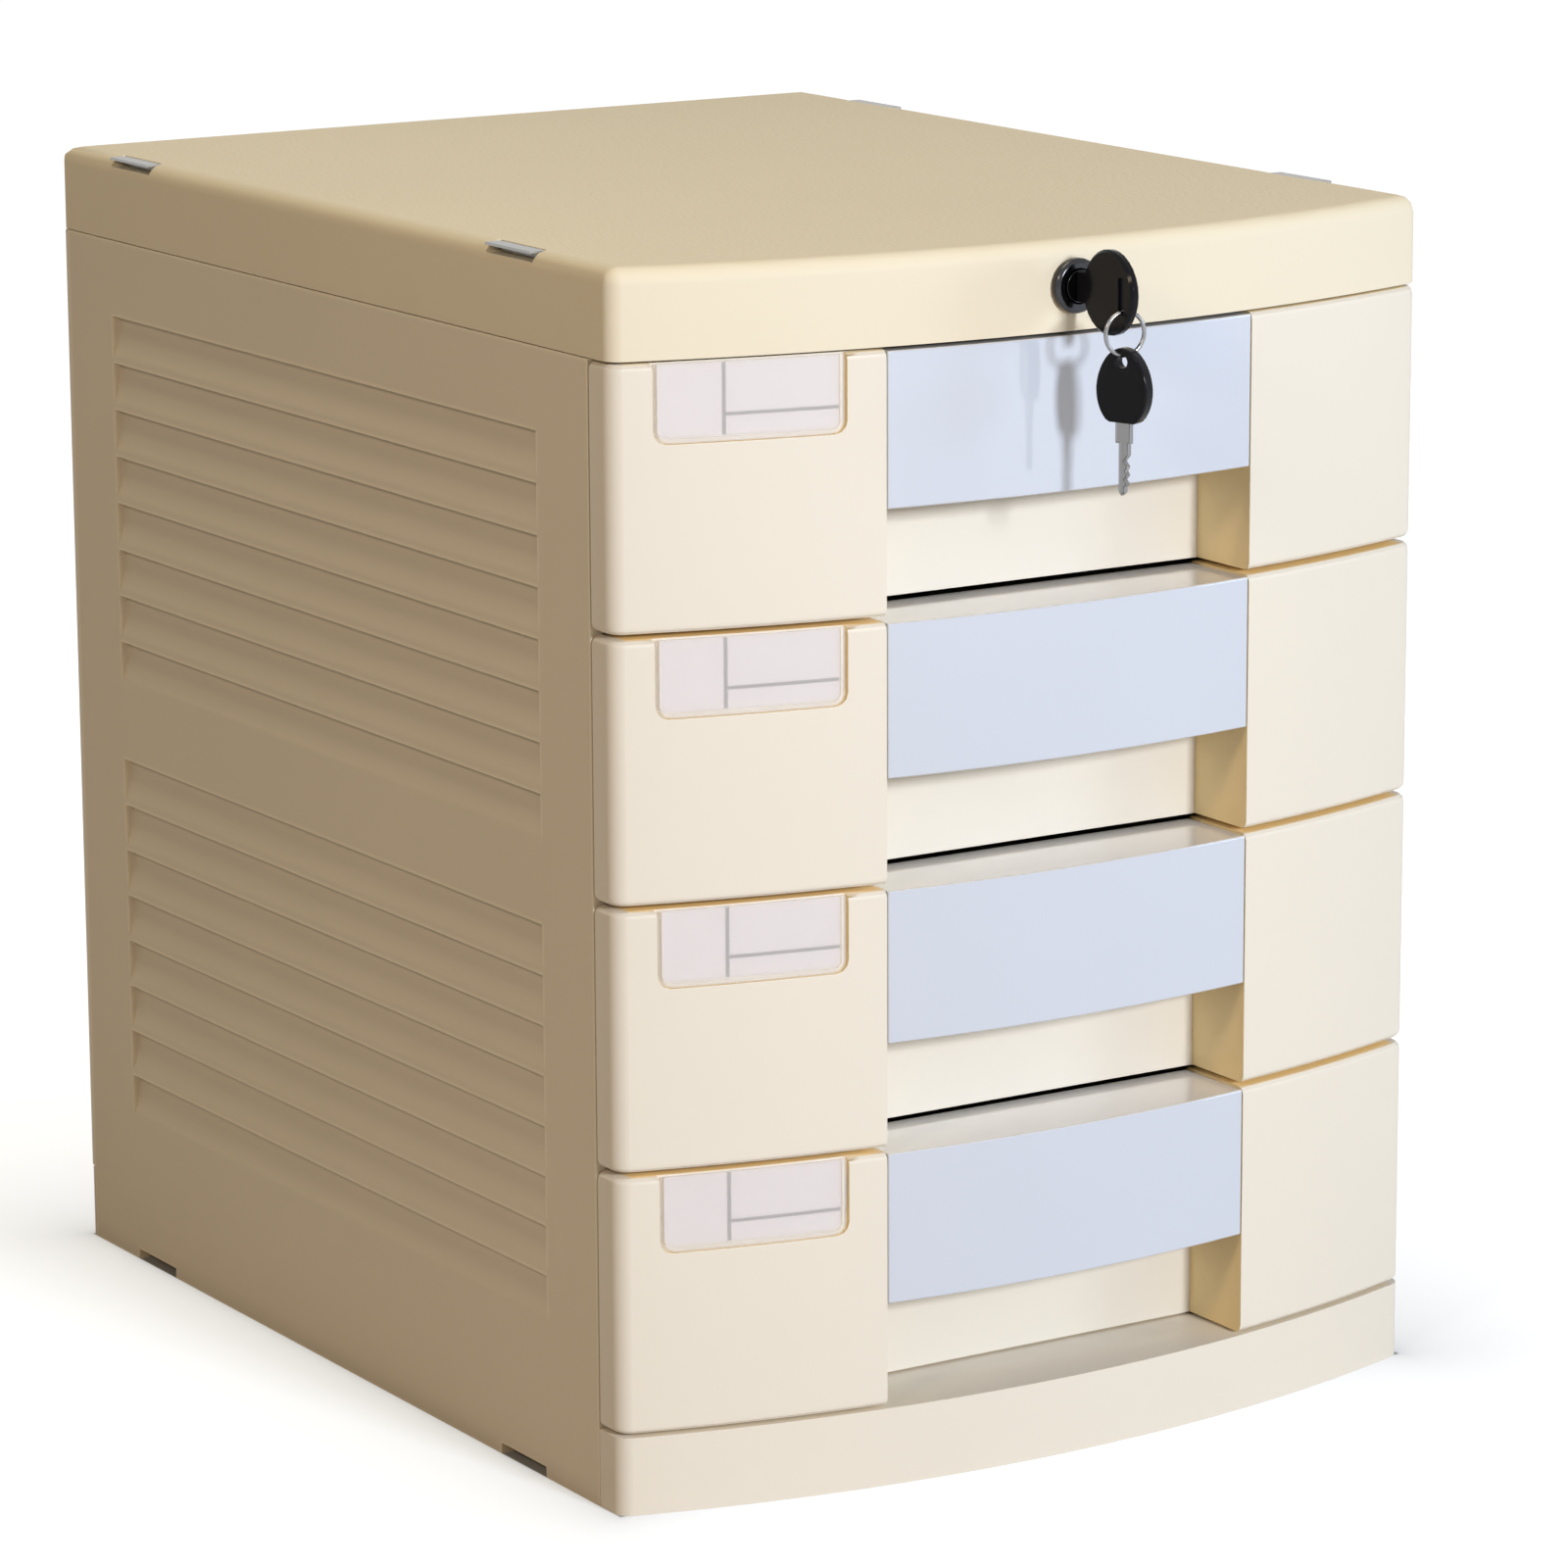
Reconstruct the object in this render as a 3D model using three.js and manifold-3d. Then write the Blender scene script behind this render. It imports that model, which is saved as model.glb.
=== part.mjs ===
// A desktop filing cabinet with four lockable drawers, in millimetres.
// The bowed front faces -Y, the louvred sides face -X and +X, and +Z is up.
// Pieces are placed from the chord of the bow, y = 0, and the whole is then moved back,
// so that the origin lies on the floor at the middle of the carcass.
import * as THREE from "three";
import { mergeVertices } from "three/addons/utils/BufferGeometryUtils.js";
import Module from "manifold-3d";

const wasm = await Module();
wasm.setup();
const { Manifold, Mesh } = wasm;

// Carcass
const width = 300;
const sideDepth = 362;
const bowRise = 24;
const height = 385;
const baseHeight = 25;
const railHeight = 28;
const cornerRadius = 6;
const rearRadius = 2;
const edgeRadius = 5.5;
const shellWall = 2.5;
const plateWall = 3;
const panelThickness = 4.5;
const seatGap = 0.3;
const cutOverrun = 5;
const bowSteps = 20;
const cornerSteps = 3;

// Drawers
const drawerCount = 4;
const drawerGap = 1.5;
const drawerTravel = 250;
const returnDepth = 11.5;
const returnGap = 0.8;
const frontEdgeRadius = 2.5;
const frontSkin = 3;
const rearSpace = 22;

// Louvred side panels
const louvresPerGroup = 8;
const louvreTopMargin = 26;
const louvreBottomMargin = 25;
const louvreGroupGap = 25;
const louvreFrontMargin = 31;
const louvreRearMargin = 35;
const louvreDepth = 2.6;
const louvreLand = 1.4;
const louvreSteps = 6;
const panelTongue = { height: 9, thickness: 1.7 };

// Drawer runners, which are grooves on the inside of the side panels
const runner = { reach: 9.5, thickness: 3, capThickness: 2, headroom: 0.7, frontSetback: 2, rearSetback: 8 };

// Drawer tray
const tray = {
  runnerClearance: 3.5,
  wall: 2,
  rise: 1.5,
  rimDrop: 3.5,
  cornerRadius: 8,
  footRadius: 3,
  flangeThickness: 2.2,
  flangeClearance: 1,
};

// Bosses under the runners that stop an open drawer
const stop = { height: 6, drop: 1.5, reach: 6.5, bite: 2.5, length: 6, inset: 6, clearance: 0.5 };

// Finger recess and the pale handle plate that hoods it
const recessWidthShare = 0.4533;
const recess = { width: width * recessWidthShare, shift: 3, backWall: 2.5, sideWall: 2.5 };
const handlePlate = {
  height: 48,
  thickness: 2.5,
  ledgeThickness: 2,
  topDrop: 0.5,
  tabWidth: 10,
  tabSpread: 90,
  tabThickness: 1.2,
  tabDrop: 4,
  hookedSkin: 0.8,
};

// Label holder in the top left field of each drawer front
const labelMarginShare = 0.0423;
const label = {
  margin: width * labelMarginShare,
  height: 24.5,
  pocketDepth: 2.2,
  cornerRadius: 4,
  cardThickness: 0.4,
  cardMargin: 2,
  windowThickness: 1,
  rimHeight: 0.6,
  rimWidth: 1.4,
  fit: 0.3,
  sideFit: 1.1,
};

// Stiffening ribs behind the drawer fronts
const frontRib = { thickness: 1.5, setback: 2, upright: 2 };

// Screws and the bosses that they bite in
const screw = { headRadius: 3.2, headHeight: 1.8, shankRadius: 1.5, length: 12, holeRadius: 1.8 };
const boss = { radius: 4, sink: 0.5, length: 15 };
const screwSides = 8;
const screwHeadSides = 12;
const backScrewMargin = 22;

// Stacking pockets along the top edges, their clips, and the notches under the base
const pocket = { length: 28, width: 6, depth: 3.4, frontMargin: 45, rearMargin: 36, wall: 2 };
const clip = { thickness: 0.9, fit: 0.3, proud: 0.2 };
const notchHeight = 3.5;
const rearPocket = { length: 10, margin: 7.5, depth: 2.6, width: 4.5 };

// Base between the feet of the side panels. A rib inside each foot snaps into a groove in its flank.
const panelFoot = { ribLevel: 12, ribHeight: 2, ribReach: 1.5, ribSetback: 30 };
const baseRib = { thickness: 2.5, padRadius: 14 };
const ridge = { thickness: 2, height: 4, setback: 20 };
const padSides = 20;

// Back panel
const back = { thickness: 2.5, fieldMargin: 22, fieldDepth: 1, fieldRadius: 12, fit: 0.3 };

// Cam lock in the top rail
const lock = {
  flangeRadius: 8.5,
  flangeThickness: 3,
  bodyRadius: 6.7,
  bodyLength: 18.8,
  plugRadius: 5,
  plugTail: 7.5,
  runningGap: 0.3,
  flangeChamfer: 1,
  nutRadius: 10.4,
  nutThickness: 4,
  slotWidth: 2.4,
  slotHeight: 6.8,
  slotDepth: 19,
  tailSlotWidth: 2.1,
  tailSlotDepth: 7,
};
const lockSides = 24;

// Key that stands in the lock
const key = {
  bowRadius: 13,
  bowThickness: 3.2,
  bowEdge: 0.8,
  bowGap: 3,
  neckHeight: 9,
  neckBite: 3,
  neckGap: 0.5,
  bladeThickness: 1.8,
  bladeHeight: 6.2,
  bladeBite: 7,
  bladeTipGap: 1,
  ringSlotLength: 11.5,
  ringSlotWidth: 2.8,
  ringSlotMargin: 5.6,
  cutDepth: 1.4,
  cutPitch: 3,
};
const bladeCutShares = [0.4, 1, 0.6, 0.9];
const bowSides = 28;

// Spindle from the lock to the back, with its crank
const spindle = {
  radius: 2.5,
  tongueThickness: 1.5,
  tongueWidth: 4.4,
  guideWall: 5,
  guideLength: 4,
  fit: 0.3,
};
const spindleSides = 16;
const spindleGuideShares = [0.17, 0.55];
const crank = { throw: 6, armRadius: 4.8, thickness: 4, gap: 3, pinRadius: 1.5, pinPlay: 0.5, pinOver: 1.5 };
const crankAngle = Math.PI / 4;

// Locking bar behind the drawers, its hooks, and the catches on the trays
const bar = { width: 22, thickness: 1.5, backGap: 7.5, topMargin: 3, footMargin: 12, slotPlay: 0.6 };
const barGuide = { wall: 2, lip: 3, height: 12, play: 0.5, inset: 30 };
const hook = { width: 9, arm: 1.5, finger: 1.5, drop: 6, lift: 1, rivet: 3 };
const catchTab = {
  width: 12,
  thickness: 2.5,
  lipHeight: 5.5,
  lipThickness: 2,
  depth: 12,
  reach: 8,
  play: 0.8,
};

// Values that follow from the ones above
const halfWidth = width / 2;
const bowRadius = (halfWidth ** 2 + bowRise ** 2) / (2 * bowRise);
const bowCentre = bowRadius - bowRise;
const railBottom = height - railHeight;
const pitch = (railBottom - baseHeight) / drawerCount;
const frontHeight = pitch - drawerGap;
const panelInner = halfWidth - panelThickness;
const panelFront = returnDepth + returnGap;
const backFront = sideDepth - back.thickness;
const panelRear = backFront - seatGap;
const backBottom = baseHeight + seatGap;
const baseFlank = panelInner - seatGap;
const panelTop = railBottom - seatGap;
const trayFront = returnDepth + seatGap;
const trayRear = sideDepth - rearSpace;
const trayHalf = panelInner - runner.reach - tray.runnerClearance;
const recessLeft = recess.shift - recess.width / 2;
const recessRight = recess.shift + recess.width / 2;
const recessBack = returnDepth - recess.backWall;
const lockHeight = height - railHeight / 2;
const lockFace = -bowRise - seatGap;
const flangeFront = lockFace - lock.flangeThickness;
const barFront = backFront - bar.backGap - bar.thickness;
const lockStroke = 2 * crank.throw * Math.sin(crankAngle);

// Each drawer is numbered from the top, and frontBottom gives the underside of its front
const drawers = Array.from({ length: drawerCount }, (_, i) => i + 1);
const frontBottom = (n) => railBottom - n * pitch + drawerGap / 2;
const frontTop = (n) => frontBottom(n) + frontHeight;
const rimTop = (n) => frontTop(n) - tray.rimDrop;
const runnerTop = (n) => rimTop(n) - tray.flangeThickness - seatGap;

const plastic = (color, roughness) => new THREE.MeshStandardMaterial({ color, roughness, metalness: 0 });
const metal = (color, roughness) => new THREE.MeshStandardMaterial({ color, roughness, metalness: 1 });
const cream = plastic(0xede5d4, 0.45);
const paleBlue = plastic(0xd7dff0, 0.15);
const clear = new THREE.MeshStandardMaterial({
  color: 0xf2f0ee,
  roughness: 0.08,
  metalness: 0,
  transparent: true,
  opacity: 0.35,
});
const card = plastic(0xece6e8, 0.8);
const black = plastic(0x17171a, 0.35);
const steel = metal(0xb9b8b6, 0.35);
const chrome = metal(0x8c8c8e, 0.15);

// A closed solid from a three.js geometry, with shared corners merged and collapsed faces dropped
function solid(geometry) {
  const plain = geometry.clone();
  plain.deleteAttribute("normal");
  plain.deleteAttribute("uv");
  const merged = mergeVertices(plain);
  const corners = merged.index.array;
  const kept = [];
  for (let i = 0; i < corners.length; i += 3) {
    const [a, b, c] = [corners[i], corners[i + 1], corners[i + 2]];
    if (a !== b && b !== c && a !== c) kept.push(a, b, c);
  }
  return new Manifold(
    new Mesh({
      numProp: 3,
      vertProperties: merged.attributes.position.array,
      triVerts: new Uint32Array(kept),
    }),
  );
}

function union(...solids) {
  return solids.flat().reduce((sum, next) => sum.add(next));
}

function cut(body, ...tools) {
  return tools.flat().reduce((left, tool) => left.subtract(tool), body);
}

// A block between two opposite corners
function block(x0, x1, y0, y1, z0, z1) {
  const geometry = new THREE.BoxGeometry(x1 - x0, y1 - y0, z1 - z0);
  geometry.translate((x0 + x1) / 2, (y0 + y1) / 2, (z0 + z1) / 2);
  return solid(geometry);
}

// An outline of [across, up] points carried from one level to another along an axis
const planes = {
  x: new THREE.Matrix4().set(0, 0, 1, 0, 1, 0, 0, 0, 0, 1, 0, 0, 0, 0, 0, 1),
  y: new THREE.Matrix4().set(1, 0, 0, 0, 0, 0, -1, 0, 0, 1, 0, 0, 0, 0, 0, 1),
  z: new THREE.Matrix4(),
};
function prism(points, axis, from, to) {
  const shape = new THREE.Shape(points.map(([a, b]) => new THREE.Vector2(a, b)));
  const geometry = new THREE.ExtrudeGeometry(shape, { depth: to - from, bevelEnabled: false });
  geometry.translate(0, 0, axis === "y" ? -to : from);
  return solid(geometry.applyMatrix4(planes[axis]));
}

// A plan outline carried upwards with rounded lower and upper edges, where a zero radius keeps the edge
function roundedColumn(points, z0, z1, lowRadius, highRadius) {
  const radius = Math.max(lowRadius, highRadius);
  const shape = new THREE.Shape(points.map(([a, b]) => new THREE.Vector2(a, b)));
  const low = lowRadius ? z0 + radius : z0 - radius;
  const high = highRadius ? z1 - radius : z1 + radius;
  const geometry = new THREE.ExtrudeGeometry(shape, {
    depth: high - low,
    bevelThickness: radius,
    bevelSize: radius,
    bevelOffset: -radius,
    bevelSegments: cornerSteps,
  });
  geometry.translate(0, 0, low);
  const reach = width + sideDepth;
  return solid(geometry).intersect(block(-reach, reach, -reach, reach, z0, z1));
}

// Points on a circle, ends included
function arc(cx, cy, radius, from, to, steps) {
  if (radius <= 0) return [[cx, cy]];
  return Array.from({ length: steps + 1 }, (_, i) => {
    const angle = from + ((to - from) * i) / steps;
    return [cx + radius * Math.cos(angle), cy + radius * Math.sin(angle)];
  });
}

// Rounded rectangle
function rounded(x0, x1, y0, y1, radius) {
  return [
    ...arc(x0 + radius, y0 + radius, radius, Math.PI, 1.5 * Math.PI, cornerSteps),
    ...arc(x1 - radius, y0 + radius, radius, 1.5 * Math.PI, 2 * Math.PI, cornerSteps),
    ...arc(x1 - radius, y1 - radius, radius, 0, 0.5 * Math.PI, cornerSteps),
    ...arc(x0 + radius, y1 - radius, radius, 0.5 * Math.PI, Math.PI, cornerSteps),
  ];
}

// Plan of the carcass seen from above, drawn in by an inset: bowed front, straight sides and back
function plan(inset, rear, rearRadius) {
  const radius = Math.max(cornerRadius - inset, 0);
  const half = halfWidth - inset;
  const cornerX = half - radius;
  const toCorner = bowRadius - inset - radius;
  const cornerY = bowCentre - Math.sqrt(toCorner ** 2 - cornerX ** 2);
  const lean = Math.asin(cornerX / toCorner);
  const down = 1.5 * Math.PI;
  const bow = arc(0, bowCentre, bowRadius - inset, down - lean, down + lean, bowSteps);
  const left = arc(-cornerX, cornerY, radius, Math.PI, down - lean, cornerSteps);
  const right = arc(cornerX, cornerY, radius, down + lean, 2 * Math.PI, cornerSteps);
  const backRight = arc(half - rearRadius, rear - rearRadius, rearRadius, 0, 0.5 * Math.PI, cornerSteps);
  const backLeft = arc(rearRadius - half, rear - rearRadius, rearRadius, 0.5 * Math.PI, Math.PI, cornerSteps);
  return [...left.slice(0, -1), ...bow, ...right.slice(1), ...backRight, ...backLeft];
}

// How far the bow stands out at a distance from the middle
const bowY = (x, inset = 0) => bowCentre - Math.sqrt((bowRadius - inset) ** 2 - x ** 2);

// A band that follows the bow between two places across the front, seen from above
function bowBand(x0, x1, outerInset, innerInset) {
  const edge = (inset) =>
    Array.from({ length: bowSteps / 2 + 1 }, (_, i) => {
      const x = x0 + ((x1 - x0) * i) / (bowSteps / 2);
      return [x, bowY(x, inset)];
    });
  return [...edge(outerInset), ...edge(innerInset).reverse()];
}

// A round bar along Y or Z
function rod(axis, radius, from, to, a, b, sides) {
  const geometry = new THREE.CylinderGeometry(radius, radius, to - from, sides);
  if (axis === "z") {
    geometry.rotateX(Math.PI / 2);
    geometry.translate(a, b, (from + to) / 2);
  } else {
    geometry.translate(a, (from + to) / 2, b);
  }
  return solid(geometry);
}

// A turned piece on a Y axis, from [radius, y] points that run round its section
function turned(points, x, z, sides) {
  const profile = points.map(([r, y]) => new THREE.Vector2(r, y));
  const geometry = new THREE.LatheGeometry(profile, sides);
  geometry.translate(x, 0, z);
  return solid(geometry);
}

const cabinet = new THREE.Group();

function addPiece(name, body, material) {
  const { vertProperties, triVerts } = body.getMesh();
  const geometry = new THREE.BufferGeometry();
  geometry.setAttribute("position", new THREE.BufferAttribute(vertProperties, 3));
  geometry.setIndex(new THREE.BufferAttribute(triVerts, 1));
  geometry.computeVertexNormals();
  const mesh = new THREE.Mesh(geometry, material);
  mesh.name = name;
  cabinet.add(mesh);
}

// Where a stacking pocket starts and ends along each side
const pocketSpans = [
  [pocket.frontMargin, pocket.frontMargin + pocket.length],
  [sideDepth - pocket.rearMargin - pocket.length, sideDepth - pocket.rearMargin],
];

// Moulded top with its skirt and bowed front rail. Pockets in its side edges take the stacking clips,
// and ribs under it carry the spindle of the lock.
function topCover() {
  const corners = prism(plan(0, sideDepth, rearRadius), "z", railBottom, height);
  const outer = roundedColumn(plan(0, sideDepth, 0), railBottom, height, 0, edgeRadius).intersect(corners);
  const hollow = prism(
    plan(shellWall, sideDepth - shellWall, rearRadius / 2),
    "z",
    railBottom - cutOverrun,
    height - plateWall,
  );
  const seats = [];
  const pockets = [];
  for (const side of [-1, 1])
    for (const [y0, y1] of pocketSpans) {
      const inner = side * (halfWidth - pocket.width - pocket.wall);
      const outerWall = side * (halfWidth - shellWall / 2);
      const seatX = [inner, outerWall].sort((a, b) => a - b);
      const seatBottom = height - pocket.depth - pocket.wall;
      const seatTop = height - plateWall / 2;
      seats.push(block(...seatX, y0 - pocket.wall, y1 + pocket.wall, seatBottom, seatTop));
      const cutX = [side * (halfWidth - pocket.width), side * (halfWidth + cutOverrun)].sort((a, b) => a - b);
      pockets.push(block(...cutX, y0, y1, height - pocket.depth, height + cutOverrun));
    }
  for (const side of [-1, 1]) {
    const outerEnd = halfWidth - rearPocket.margin;
    const ends = [side * outerEnd, side * (outerEnd - rearPocket.length)].sort((a, b) => a - b);
    const [y0, y1] = [sideDepth - rearPocket.width, sideDepth + cutOverrun];
    pockets.push(block(...ends, y0, y1, height - rearPocket.depth, height + cutOverrun));
  }
  const guideHalf = spindle.radius + spindle.guideWall;
  const guides = guidePlaces().map((y) =>
    block(
      -guideHalf,
      guideHalf,
      y - spindle.guideLength / 2,
      y + spindle.guideLength / 2,
      lockHeight - guideHalf,
      height - plateWall / 2,
    ),
  );
  const bore = rod(
    "y",
    spindle.radius + spindle.fit,
    0,
    sideDepth - shellWall * 2,
    0,
    lockHeight,
    spindleSides,
  );
  const lockHole = rod(
    "y",
    lock.bodyRadius + seatGap,
    -bowRise - cutOverrun,
    -bowRise + shellWall + cutOverrun,
    0,
    lockHeight,
    lockSides,
  );
  const filled = union(cut(outer, hollow), seats, guides).intersect(outer);
  addPiece("top_cover", cut(filled, pockets, bore, lockHole), cream);
}

// Places along the depth where a rib carries the spindle, the last one just ahead of the crank
function guidePlaces() {
  const last = barFront - crank.gap - crank.thickness - spindle.guideLength;
  return [...spindleGuideShares.map((share) => share * sideDepth), last];
}

// Bent steel clips that lie in the top pockets
function stackingClips() {
  const ends = ["front", "rear"];
  const sides = { left: -1, right: 1 };
  ends.forEach((end, i) => {
    for (const [sideName, side] of Object.entries(sides)) {
      const [y0, y1] = pocketSpans[i];
      const outerX = halfWidth - clip.proud;
      const innerX = halfWidth - pocket.width + clip.fit;
      const topZ = height - clip.proud;
      const underZ = topZ - clip.thickness;
      const legZ = height - pocket.depth + clip.fit;
      const profile = [
        [innerX, legZ],
        [innerX + clip.thickness, legZ],
        [innerX + clip.thickness, underZ],
        [outerX, underZ],
        [outerX, topZ],
        [innerX, topZ],
      ].map(([x, z]) => [side * x, z]);
      if (side < 0) profile.reverse();
      const piece = prism(profile, "y", y0 + clip.fit, y1 - clip.fit);
      addPiece(`stacking_clip_${end}_${sideName}`, piece, steel);
    }
  });
}

// One louvre seen from the front: a sharp step in at its top, and a hollow ramp back out below
function scoop(top, drop) {
  const radius = (drop ** 2 + louvreDepth ** 2) / (2 * louvreDepth);
  const centreX = -halfWidth + louvreDepth - radius;
  const curve = arc(centreX, top, radius, -Math.asin(drop / radius), 0, louvreSteps);
  return [...curve, [-halfWidth - cutOverrun, top], [-halfWidth - cutOverrun, top - drop]];
}

// Notches under the side edges, which fit over the clips of a cabinet below
function footNotches(side) {
  const ends = [side * (halfWidth - pocket.width), side * (halfWidth + cutOverrun)].sort((a, b) => a - b);
  return pocketSpans.map(([y0, y1]) => block(...ends, y0, y1, -cutOverrun, notchHeight));
}

// Side panel with two groups of louvres outside and a grooved runner for each drawer inside
function sidePanel(name, side) {
  const skin = block(-halfWidth, -panelInner, panelFront, panelRear, 0, panelTop);
  const footRib = block(
    -panelInner - seatGap,
    -panelInner + panelFoot.ribReach,
    panelFront + panelFoot.ribSetback,
    panelRear - panelFoot.ribSetback,
    panelFoot.ribLevel,
    panelFoot.ribLevel + panelFoot.ribHeight,
  );
  const tongueOuter = -halfWidth + shellWall + seatGap;
  const tongue = block(
    tongueOuter,
    tongueOuter + panelTongue.thickness,
    panelFront + cornerRadius,
    panelRear - cornerRadius,
    panelTop - cutOverrun,
    panelTop + panelTongue.height,
  );
  const runners = drawers.flatMap((n) => {
    const inner = -panelInner + runner.reach;
    const y0 = panelFront + runner.frontSetback;
    const y1 = panelRear - runner.rearSetback;
    const bottom = runnerTop(n) - runner.thickness;
    const capBottom = rimTop(n) + runner.headroom;
    const stopTop = bottom - stop.drop;
    const stopBottom = stopTop - stop.height;
    const stopRear = trayRear - stop.inset - stop.length - drawerTravel - stop.clearance;
    const stopInner = -trayHalf - stop.reach + stop.bite;
    return [
      block(-panelInner - seatGap, inner, y0, y1, bottom, runnerTop(n)),
      block(-panelInner - seatGap, inner, y0, y1, capBottom, capBottom + runner.capThickness),
      block(-panelInner - seatGap, stopInner, stopRear - stop.length, stopRear, stopBottom, stopTop),
    ];
  });
  const bosses = backScrewLevels().map((z) =>
    rod("y", boss.radius, panelRear - boss.length, panelRear, -backScrewX(), z, spindleSides),
  );
  const holes = backScrewLevels().map((z) =>
    rod("y", screw.holeRadius, panelRear - boss.length, sideDepth, -backScrewX(), z, screwSides),
  );
  const louvreSpan = railBottom - baseHeight - louvreTopMargin - louvreBottomMargin;
  const louvrePitch = (louvreSpan - louvreGroupGap) / (2 * louvresPerGroup);
  const groupTops = [
    railBottom - louvreTopMargin,
    railBottom - louvreTopMargin - louvresPerGroup * louvrePitch - louvreGroupGap,
  ];
  const scoops = groupTops.flatMap((groupTop) =>
    Array.from({ length: louvresPerGroup }, (_, i) =>
      prism(
        scoop(groupTop - i * louvrePitch, louvrePitch - louvreLand),
        "y",
        panelFront + louvreFrontMargin,
        sideDepth - louvreRearMargin,
      ),
    ),
  );
  const left = cut(union(skin, tongue, footRib, runners, bosses), scoops, holes, footNotches(-1));
  addPiece(name, side < 0 ? left : left.mirror([1, 0, 0]), cream);
}

const backScrewX = () => panelInner - boss.radius + boss.sink;
const backScrewLevels = () => [baseHeight + backScrewMargin, railBottom - backScrewMargin];

// Back panel with a sunk field outside and two guides for the locking bar inside
function backPanel() {
  const half = halfWidth - back.fit;
  const sheet = block(-half, half, backFront, sideDepth, backBottom, panelTop);
  const field = prism(
    rounded(
      -half + back.fieldMargin,
      half - back.fieldMargin,
      backBottom + back.fieldMargin,
      panelTop - back.fieldMargin,
      back.fieldRadius,
    ),
    "y",
    sideDepth - back.fieldDepth,
    sideDepth + cutOverrun,
  );
  const barHalf = bar.width / 2 + barGuide.play;
  const guides = [backBottom + barGuide.inset, panelTop - barGuide.inset - barGuide.height].map((z) => {
    const guideFront = barFront - barGuide.play - barGuide.wall;
    const body = block(
      -barHalf - barGuide.wall,
      barHalf + barGuide.wall,
      guideFront,
      backFront + seatGap,
      z,
      z + barGuide.height,
    );
    const channel = block(
      -barHalf,
      barHalf,
      barFront - barGuide.play,
      barFront + bar.thickness + barGuide.play,
      z - cutOverrun,
      z + barGuide.height + cutOverrun,
    );
    const mouth = block(
      -barHalf + barGuide.lip,
      barHalf - barGuide.lip,
      guideFront - cutOverrun,
      barFront,
      z - cutOverrun,
      z + barGuide.height + cutOverrun,
    );
    return cut(body, channel, mouth);
  });
  const [holeFront, holeRear] = [backFront - cutOverrun, sideDepth + cutOverrun];
  const holes = [-1, 1].flatMap((side) =>
    backScrewLevels().map((z) =>
      rod("y", screw.holeRadius, holeFront, holeRear, side * backScrewX(), z, screwSides),
    ),
  );
  addPiece("back_panel", cut(union(sheet, guides), field, holes), cream);
}

// A pan head screw that points along -Y from its seat, or along +Y where it is turned round
function screwBody(x, seat, z, direction) {
  const outline = [
    [0, 0],
    [screw.headRadius, 0],
    [screw.headRadius, screw.headHeight / 2],
    [screw.headRadius / 2, screw.headHeight],
    [0, screw.headHeight],
  ];
  const head = turned(outline, x, z, screwHeadSides);
  const shank = rod("y", screw.shankRadius, -screw.length, screw.headHeight / 2, x, z, screwSides);
  const whole = union(head, shank);
  return (direction < 0 ? whole : whole.mirror([0, 1, 0])).translate([0, seat, 0]);
}

function backScrews() {
  const sides = { left: -1, right: 1 };
  const levels = ["lower", "upper"];
  levels.forEach((level, i) => {
    for (const [sideName, side] of Object.entries(sides)) {
      const piece = screwBody(side * backScrewX(), sideDepth + seatGap / 2, backScrewLevels()[i], -1);
      addPiece(`back_screw_${level}_${sideName}`, piece, steel);
    }
  });
}

// Base with the same bowed plan: a deck over a skirt that stands on the floor, crossed by ribs
// that meet in a round pad. Notches in the skirt take the clips of a cabinet below.
function base() {
  const flanks = (wall) =>
    [-1, 1].map((side) => {
      const ends = [side * (baseFlank - wall), side * (halfWidth + cutOverrun)].sort((a, b) => a - b);
      const [y0, y1] = [panelFront - seatGap - wall, backFront + wall];
      return block(...ends, y0, y1, -cutOverrun, baseHeight + cutOverrun);
    });
  const outer = cut(prism(plan(0, sideDepth, rearRadius), "z", 0, baseHeight), flanks(0));
  const inside = prism(
    plan(shellWall, sideDepth - shellWall, rearRadius / 2),
    "z",
    -cutOverrun,
    baseHeight - shellWall,
  );
  const hollow = cut(inside, flanks(shellWall));
  const deckUnder = baseHeight - shellWall / 2;
  const middle = sideDepth / 2;
  const ribs = [
    block(
      -baseRib.thickness / 2,
      baseRib.thickness / 2,
      -bowRise + shellWall / 2,
      sideDepth - shellWall / 2,
      0,
      deckUnder,
    ),
    block(
      -baseFlank + shellWall / 2,
      baseFlank - shellWall / 2,
      middle - baseRib.thickness / 2,
      middle + baseRib.thickness / 2,
      0,
      deckUnder,
    ),
    rod("z", baseRib.padRadius, 0, deckUnder, 0, middle, padSides),
  ];
  const ridges = [-1, 1].map((side) => {
    const ends = [side * (baseFlank - ridge.thickness), side * baseFlank].sort((a, b) => a - b);
    const [y0, y1] = [panelFront + ridge.setback, panelRear - ridge.setback];
    return block(...ends, y0, y1, deckUnder, baseHeight + ridge.height);
  });
  const grooves = [-1, 1].map((side) => {
    const ends = [side * (baseFlank - panelFoot.ribReach), side * (baseFlank + cutOverrun)];
    return block(
      ...ends.sort((a, b) => a - b),
      panelFront + panelFoot.ribSetback - seatGap,
      panelRear - panelFoot.ribSetback + seatGap,
      panelFoot.ribLevel - seatGap,
      panelFoot.ribLevel + panelFoot.ribHeight + seatGap,
    );
  });
  const notches = [-1, 1].flatMap(footNotches);
  addPiece("base", cut(union(cut(outer, hollow), ribs, ridges), grooves, notches), cream);
}

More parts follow.
